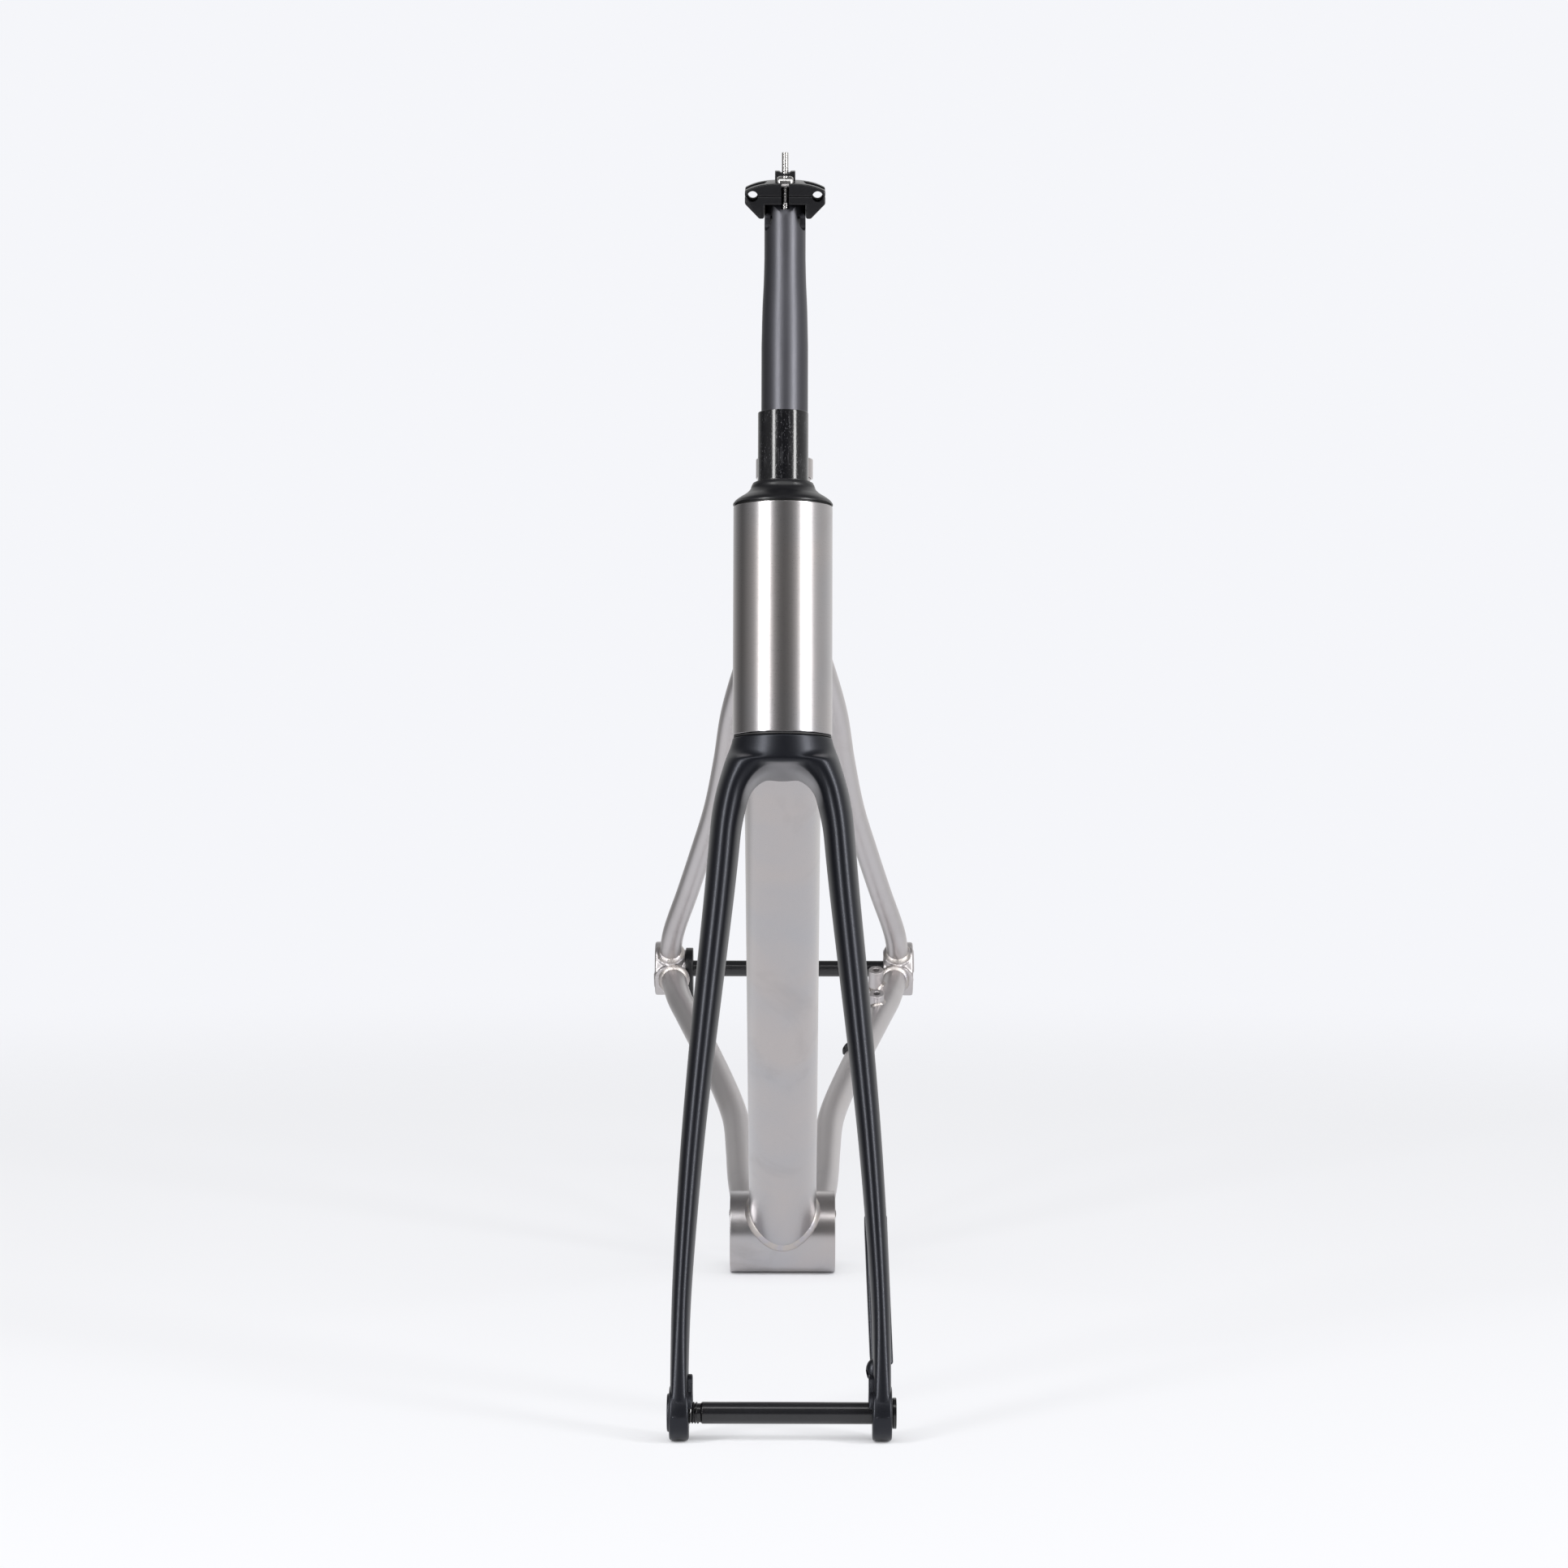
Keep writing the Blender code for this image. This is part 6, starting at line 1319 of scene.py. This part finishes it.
thru = millimetres(radius=6, bore=3, threadCore=0.75, thread=17, pitch=1.5, ridge=0.62, ridgeInset=0.66,
                   key=6, keyDepth=8, frontStart=-61, frontHead=8.5, frontThick=2.2, rearStart=-92.5,
                   rearHead=9, rearThick=6, rearInset=0.8)
shellThread = millimetres(pitch=1.06, ridge=0.42, depth=24, inset=1.6)


def helix(radius, pitch, ridge, length, look, start):
    # a thread's ridge, wound up Z from the start
    made = grown(wire(stub), threadRidge, {"Radius": radius, "Pitch": pitch, "Ridge": ridge,
                                           "Turns": length / pitch, "Material": look})
    return placed(made, shift(0, 0, start))


def thruAxle(start, underHead, headRadius, top):
    radius, bore, corner = thru["radius"], thru["bore"], thru["key"] / math.sqrt(3)
    core, threadEnd = radius - thru["threadCore"], start + thru["thread"]
    solid = [(bore, start), (radius - 1.1 * mm, start), (core, start + 0.5 * mm),
             (core, threadEnd + 0.4 * mm), (radius, threadEnd + 1.2 * mm), (radius, underHead),
             (headRadius, underHead), (headRadius, top), (corner + 0.5 * mm, top),
             (corner + 0.05 * mm, top - 0.5 * mm), (bore, top - 0.6 * mm)]
    bar = carved(turned(solid, 0.5 * mm), hexSocket(thru["key"], thru["keyDepth"], top))
    ridge = helix(radius - thru["ridgeInset"], thru["pitch"], thru["ridge"], thru["thread"] - 2 * mm,
                  axleLook, start + 0.9 * mm)
    return gathered(bar, ridge)


for name, hub, underHead, top in (
        ("front", frontHub, tipOuter + gap, tipOuter + gap + thru["frontThick"]),
        ("rear", rearHub, rear["outer"] - thru["rearThick"], rear["outer"] - thru["rearInset"])):
    solid = thruAxle(thru[name + "Start"], underHead, thru[name + "Head"], top)
    piece(f"{name}ThruAxle", solid, axleLook, f"{name}_thru_axle", place=hub @ facingX())

half, inset = tubes["shellWidth"] / 2, shellThread["inset"]
threads = [helix(bike["shellRadius"] - tubes["shellWall"], shellThread["pitch"], shellThread["ridge"],
                 shellThread["depth"], shellLook, start)
           for start in (-half + inset, half - inset - shellThread["depth"])]
piece("shellThreads", gathered(*threads), shellLook, (), "bottom_bracket_shell", stance @ facingX())
print("axles threaded")

# seatpost, in the seat line's space

post = millimetres(radius=15.8, wall=1.9, foot=330, taperStart=610, taperEnd=652, neck=14, rocker=14.1,
                   shoulder=2, solidTop=12, windowHeight=11.6, windowWidth=8.6, slotHalf=2.8, boltOffset=6.6)
pivot = bike["clampPivot"]
top, floorOfNeck = pivot + post["rocker"] + 3 * mm, pivot - post["solidTop"]
# the taper's heights and radii, in millimetres
taper = [(post["taperStart"] / mm - 12, 15.8), (post["taperStart"] / mm + 14, 15.2),
         (post["taperEnd"] / mm - 10, 14.4), (post["taperEnd"] / mm + 6, 14.0)]
skin = [(post["radius"], post["foot"]), (post["radius"], post["taperStart"] - 13 * mm)]
for i in range(25):
    height = taper[0][0] + (taper[-1][0] - taper[0][0]) * i / 24
    skin.append((hermite(taper, height) * mm, height * mm))
neckBore, footBore = post["neck"] - post["wall"], post["radius"] - post["wall"]
skin += [(post["neck"], post["taperEnd"] + k * 3 * mm) for k in range(3, 15)]
skin += [(post["neck"], top), (0, top), (0, floorOfNeck), (neckBore, floorOfNeck),
         (neckBore, post["taperEnd"]), (footBore, post["taperStart"]), (footBore, post["foot"])]
body = lathe(skin, 128)
clampInSeat = shift(0, 0, pivot) @ tilt(90 - bike["seatAngle"])
shoulder = post["shoulder"]
start = math.degrees(math.asin(shoulder / post["rocker"]))
above = [(30 * mm, shoulder), *arc((0, 0), post["rocker"], start, 180 - start, 65), (-30 * mm, shoulder),
         (-30 * mm, 40 * mm), (30 * mm, 40 * mm)]
cutters = [placed(slab(above, -20 * mm, 20 * mm, "X"), clampInSeat)]


def roundSlot(length, width, count=20):
    reach = (length - width) / 2
    return arc((0, reach), width / 2, 0, 180, count) + arc((0, -reach), width / 2, 180, 360, count)


# the slot for a bolt widens upwards, so that the bolt can rock with the clamp
boltSlot = [(3.4 * mm, -2 * mm), (9.7 * mm, -2 * mm), (11.7 * mm, 15 * mm), (1.4 * mm, 15 * mm)]
window = roundSlot(post["windowHeight"], post["windowWidth"])
for side in (-1, 1):
    moved = [(side * post["boltOffset"] + a, b) for a, b in window]
    cutters.append(placed(slab(moved, -20 * mm, 20 * mm, "X"), clampInSeat))
    sideSlot = [(side * a, b) for a, b in boltSlot]
    cutters.append(placed(slab(sideSlot, -post["slotHalf"], post["slotHalf"], "X"), clampInSeat))
piece("seatpostBody", carved(body, *cutters), postLook, "seatpost", place=seatLine)

# saddle clamp, in its own space

grip = millimetres(half=27.2, length=17.5, rail=18, railSpacing=22, railRadius=3.5, rib=0.35, crest=26.7,
                   fall=5.0, cheek=14.06, seam=0.05, lowerEdge=0.8, upperEdge=0.9, notch=2.6, pocketFront=-9,
                   pocketRear=9.5)
nuts = millimetres(frontHeight=26.8, front=4.15, frontWidth=11, frontTaper=1.6, wing=6.9, rear=6.4,
                   rearHalf=4.5, rearEdge=0.7, scoop=5.2, scoopRise=3.4, barrel=4, barrelHalf=10,
                   barrelEdge=0.5)
clampBolt = millimetres(drill=2.8, core=2.22, foot=-4, rearTop=46, threadRadius=2.17, pitch=0.8, ridge=0.21,
                        runOut=1.6, threadFoot=-3.2)
half, length, cheek = grip["half"], grip["length"], grip["cheek"]
parting, base = grip["rail"] - grip["seam"], grip["rail"] + grip["seam"]
lower = [(half, parting), (half, grip["rail"] - 5 * mm), (cheek + 3.4 * mm, 3 * mm),
         (cheek + 0.6 * mm, 3 * mm), (cheek, 4.2 * mm), (cheek, 12.4 * mm)]
lower += [(-x, z) for x, z in lower[::-1]]
cradle = chamfered(slab(lower, -length, length, "Y"), grip["lowerEdge"])


def plateTop(x):
    return grip["crest"] - grip["fall"] * abs(x / half) ** 3


arched = [(x, plateTop(x)) for x in [half - 2 * half * i / 48 for i in range(49)]]
upper = slab([(half, base), *arched, (-half, base)], -length, length, "Y")
upper = chamfered(upper, grip["upperEdge"], 3, 20)
# the rail grooves are ribbed, and a pocket lies above each between a front and a rear lip
ribs = [(grip["railRadius"] + (k % 2) * grip["rib"], (k - 20) * mm) for k in range(41)]
ribs = [(0, -60 * mm), (grip["railRadius"], -60 * mm), *ribs, (grip["railRadius"], 60 * mm), (0, 60 * mm)]
pocket = [(12.5 * mm, 30 * mm), (12.5 * mm, plateTop(12.5 * mm) - 0.1 * mm),
          (15 * mm, plateTop(15 * mm) - 1.5 * mm), (21 * mm, plateTop(21 * mm) - 1.9 * mm),
          (30 * mm, plateTop(half) - 1.6 * mm), (30 * mm, 30 * mm)]
rails, notches, pockets = [], [], []
for side in (-1, 1):
    rail = shift(side * grip["railSpacing"], 0, grip["rail"]) @ tilt(90)
    rails.append(placed(lathe(ribs, 64, False), rail))
    reach = sorted((side * (post["boltOffset"] - clampBolt["drill"]), side * 40 * mm))
    notches.append(slab(rectangle(-grip["notch"], grip["notch"], *reach), 0, 60 * mm))
    pockets.append(slab([(side * x, z) for x, z in pocket], grip["pocketFront"], grip["pocketRear"], "Y"))
rocker = placed(rod(post["rocker"] + gap, 2 * cheek, 128, -cheek), facingX())
cradle = carved(cradle, rocker, *[bm.copy() for bm in (*rails, *notches)])
nutPlace, nutHalf = facingX(0, -post["boltOffset"], nuts["frontHeight"]), nuts["frontWidth"] / 2
nutSeat = placed(rod(nuts["front"] + gap, nuts["frontWidth"] + 2 * gap, 64, -nutHalf - gap), nutPlace)
upper = carved(upper, *rails, *notches, *pockets, nutSeat)
piece("lowerRailCradle", cradle, blackLook, "lower_rail_cradle", place=clampLine)
piece("upperRailClamp", upper, blackLook, "upper_rail_clamp", place=clampLine)


def boltHoled(bm, side):
    return carved(bm, drill(clampBolt["drill"], 48, shift(0, side * post["boltOffset"], 0)))


nutEnd, straight = nuts["front"] - 0.9 * mm, nutHalf - nuts["frontTaper"]
profile = [(0, -nutHalf), (nutEnd, -nutHalf), (nuts["front"], -straight), (nuts["front"], straight),
           (nutEnd, nutHalf), (0, nutHalf)]
nut = placed(turned(profile, 0.9 * mm, 72, False), nutPlace)
piece("frontClampNut", boltHoled(nut, -1), steelLook, "front_clamp_nut", place=clampLine)
wing, nutBase = nuts["wing"], grip["crest"] + gap
nutTop = nutBase + nuts["rear"]
scoop = arc((0, nutTop + nuts["scoopRise"]), nuts["scoop"], -42, -138, 24)
yoke = slab([(-wing, nutBase), (wing, nutBase), (wing, nutTop), *scoop, (-wing, nutTop)],
            post["boltOffset"] - nuts["rearHalf"], post["boltOffset"] + nuts["rearHalf"], "Y")
yoke = boltHoled(chamfered(yoke, nuts["rearEdge"]), 1)
piece("rearClampNut", yoke, blackLook, "rear_clamp_nut", place=clampLine)
core, foot = clampBolt["core"], clampBolt["foot"]
for name, side, boltTop in (("front", -1, nuts["frontHeight"] + nuts["front"]),
                            ("rear", 1, clampBolt["rearTop"])):
    barrel = rod(nuts["barrel"], 2 * nuts["barrelHalf"], 64, -nuts["barrelHalf"])
    barrel = placed(chamfered(barrel, nuts["barrelEdge"]), facingX(0, side * post["boltOffset"], 0))
    piece(f"{name}BarrelNut", boltHoled(barrel, side), blackLook, f"{name}_barrel_nut", place=clampLine)
    shank = turned([(0, foot), (core, foot), (core, boltTop), (0, boltTop)], 0.4 * mm, 48, False)
    ridge = helix(clampBolt["threadRadius"], clampBolt["pitch"], clampBolt["ridge"],
                  boltTop - foot - clampBolt["runOut"], steelLook, clampBolt["threadFoot"])
    piece(f"{name}ClampBolt", gathered(shank, ridge), steelLook, f"{name}_clamp_bolt",
          place=clampLine @ shift(0, side * post["boltOffset"], 0))
print("seatpost and clamp made")

welds = grown(gathered(*weldLoops), weldBead, {"Spacing": weld["spacing"], "Width": weld["width"],
                                               "Length": weld["length"], "Height": weld["height"],
                                               "Material": weldLook})
piece("weldBeads", welds, weldLook, (), "down_tube", sharp=60)
print("welds laid")

# floor, light and camera

studio = {"backdrop": (0.915, 0.922, 0.955), "paper": (0.935, 0.940, 0.965), "floor": (0.88, 0.885, 0.91),
          "reach": 3, "sink": 0.3 * mm, "shine": 0.8, "fade": (0.9, 2.0), "nearer": 0.8, "contact": 0.035,
          "fill": 0.30, "ceiling": 0.16, "aim": (0, 0, 0.45)}
# each softbox: degrees from the camera's side, positive to its left, then distance, height, power and size
lamps = {"leftBox": (38, 2.4, 1.15, 52, (0.42, 2.3)), "rightBox": (-49.5, 2.4, 1.15, 54, (0.42, 2.3)),
         "topBox": (0, 1.4, 2.0, 8, (1.7, 0.4))}
lens = {"focal": 108.02, "sensor": 36, "spot": (0.00475, -3.0336, 0.4995), "down": 3.169, "turn": 0.0823,
        "roll": 0.129}
# what polished metal sees round it: degrees from the camera's side, positive to its right
room = [(-180, 1.0), (-162, 0.80), (-138, 0.36), (-112, 0.07), (-92, 0.20), (-77, 0.30), (-37, 0.20),
        (-20, 0.09), (0, 0.04), (20, 0.12), (37, 0.28), (78, 0.50), (97, 0.58), (118, 0.70), (144, 0.92),
        (180, 1.0)]


def anyOf(flow, *names):
    ray = flow.tree.nodes.new("ShaderNodeLightPath")
    total = Flow(flow.tree, ray.outputs[names[0]])
    for name in names[1:]:
        total = total.maths("MAXIMUM", total, Flow(flow.tree, ray.outputs[name]))
    return total


def floorPaint(tree):
    flow = Flow(tree)
    point = flow.node("ShaderNodeTexCoord", {}, {}, "Object")
    length = point.node("ShaderNodeVectorMath", {"operation": "LENGTH"}, {0: point}, "Value")
    length = length * (anyOf(flow, "Is Glossy Ray") * studio["nearer"] + 1)
    share = point.node("ShaderNodeMapRange", {"interpolation_type": "SMOOTHSTEP"},
                       {0: length, 1: studio["fade"][0], 2: studio["fade"][1]})
    matt = flow.node("ShaderNodeBsdfDiffuse", {}, {"Color": (*studio["floor"], 1)})
    paper = flow.node("ShaderNodeEmission", {}, {"Color": (*studio["paper"], 1)})
    near = flow.node("ShaderNodeAmbientOcclusion", {"samples": 6}, {"Distance": studio["contact"]}, "AO")
    seen = anyOf(flow, "Is Camera Ray", "Is Glossy Ray", "Is Transmission Ray") * near * studio["shine"]
    matt = flow.node("ShaderNodeMixShader", {}, {0: seen, 1: matt, 2: paper})
    clear = flow.node("ShaderNodeBsdfTransparent")
    return flow.node("ShaderNodeMixShader", {}, {0: share, 1: matt, 2: clear})


floorMesh = bpy.data.meshes.new("floor")
corners = rectangle(-studio["reach"], studio["reach"], -studio["reach"], studio["reach"])
floorMesh.from_pydata([(x, y, -studio["sink"]) for x, y in corners], [], [(0, 1, 2, 3)])
floor = bpy.data.objects.new("floor", floorMesh)
bpy.context.scene.collection.objects.link(floor)
floorLook = bpy.data.materials.new("floorPaper")
floorLook.use_nodes = True
floorTree = floorLook.node_tree
floorTree.nodes.remove(floorTree.nodes["Principled BSDF"])
floorTree.links.new(floorPaint(floorTree).socket, floorTree.nodes["Material Output"].inputs["Surface"])
floorMesh.materials.append(floorLook)

world = bpy.data.worlds.new("studio")
bpy.context.scene.world = world
world.use_nodes = True
sky = world.node_tree
flow = Flow(sky)
heading = flow.node("ShaderNodeTexCoord", {}, {}, "Generated")
parts = sky.nodes.new("ShaderNodeSeparateXYZ")
sky.links.new(heading.socket, parts.inputs[0])
across, away, up = [Flow(sky, parts.outputs[name]) for name in ("X", "Y", "Z")]
azimuth = across.maths("ARCTAN2", across, 0 - away) * (1 / math.tau) + 0.5
walls = ramped(azimuth, *[(0.5 + degrees / 360, value) for degrees, value in room])
height = up.node("ShaderNodeMapRange", {"interpolation_type": "SMOOTHSTEP"},
                 {0: up.maths("ABSOLUTE", up, 0.0), 1: 0.45, 2: 0.9})
walls = tinted(height, walls, (studio["ceiling"],) * 3)
seen = tinted(anyOf(flow, "Is Glossy Ray"), (studio["fill"],) * 3, walls)
seen = tinted(anyOf(flow, "Is Camera Ray", "Is Transmission Ray"), seen, studio["backdrop"])
sky.links.new(seen.socket, sky.nodes["Background"].inputs["Color"])


def softbox(name, degrees, distance, height, power, size):
    light = bpy.data.lights.new(name, "AREA")
    light.shape, light.energy = "RECTANGLE", power
    light.size, light.size_y = size
    made = bpy.data.objects.new(name, light)
    bpy.context.scene.collection.objects.link(made)
    turn = math.radians(degrees)
    centre = Vector((-math.sin(turn), -math.cos(turn), 0)) * distance + Vector((0, 0, height))
    facing = (Vector(studio["aim"]) - centre).to_track_quat("-Z", "Y")
    made.matrix_world = Matrix.Translation(centre) @ facing.to_matrix().to_4x4()


for name, settings in lamps.items():
    softbox(name, *settings)

camera = bpy.data.cameras.new("camera")
camera.lens, camera.sensor_width = lens["focal"], lens["sensor"]
view = bpy.data.objects.new("camera", camera)
bpy.context.scene.collection.objects.link(view)
view.matrix_world = (shift(*lens["spot"]) @ Matrix.Rotation(math.radians(lens["turn"]), 4, "Z")
                     @ tilt(90 - lens["down"]) @ Matrix.Rotation(math.radians(lens["roll"]), 4, "Z"))
bpy.context.scene.camera = view
bpy.context.scene.view_settings.view_transform = "Standard"
print("studio lit")
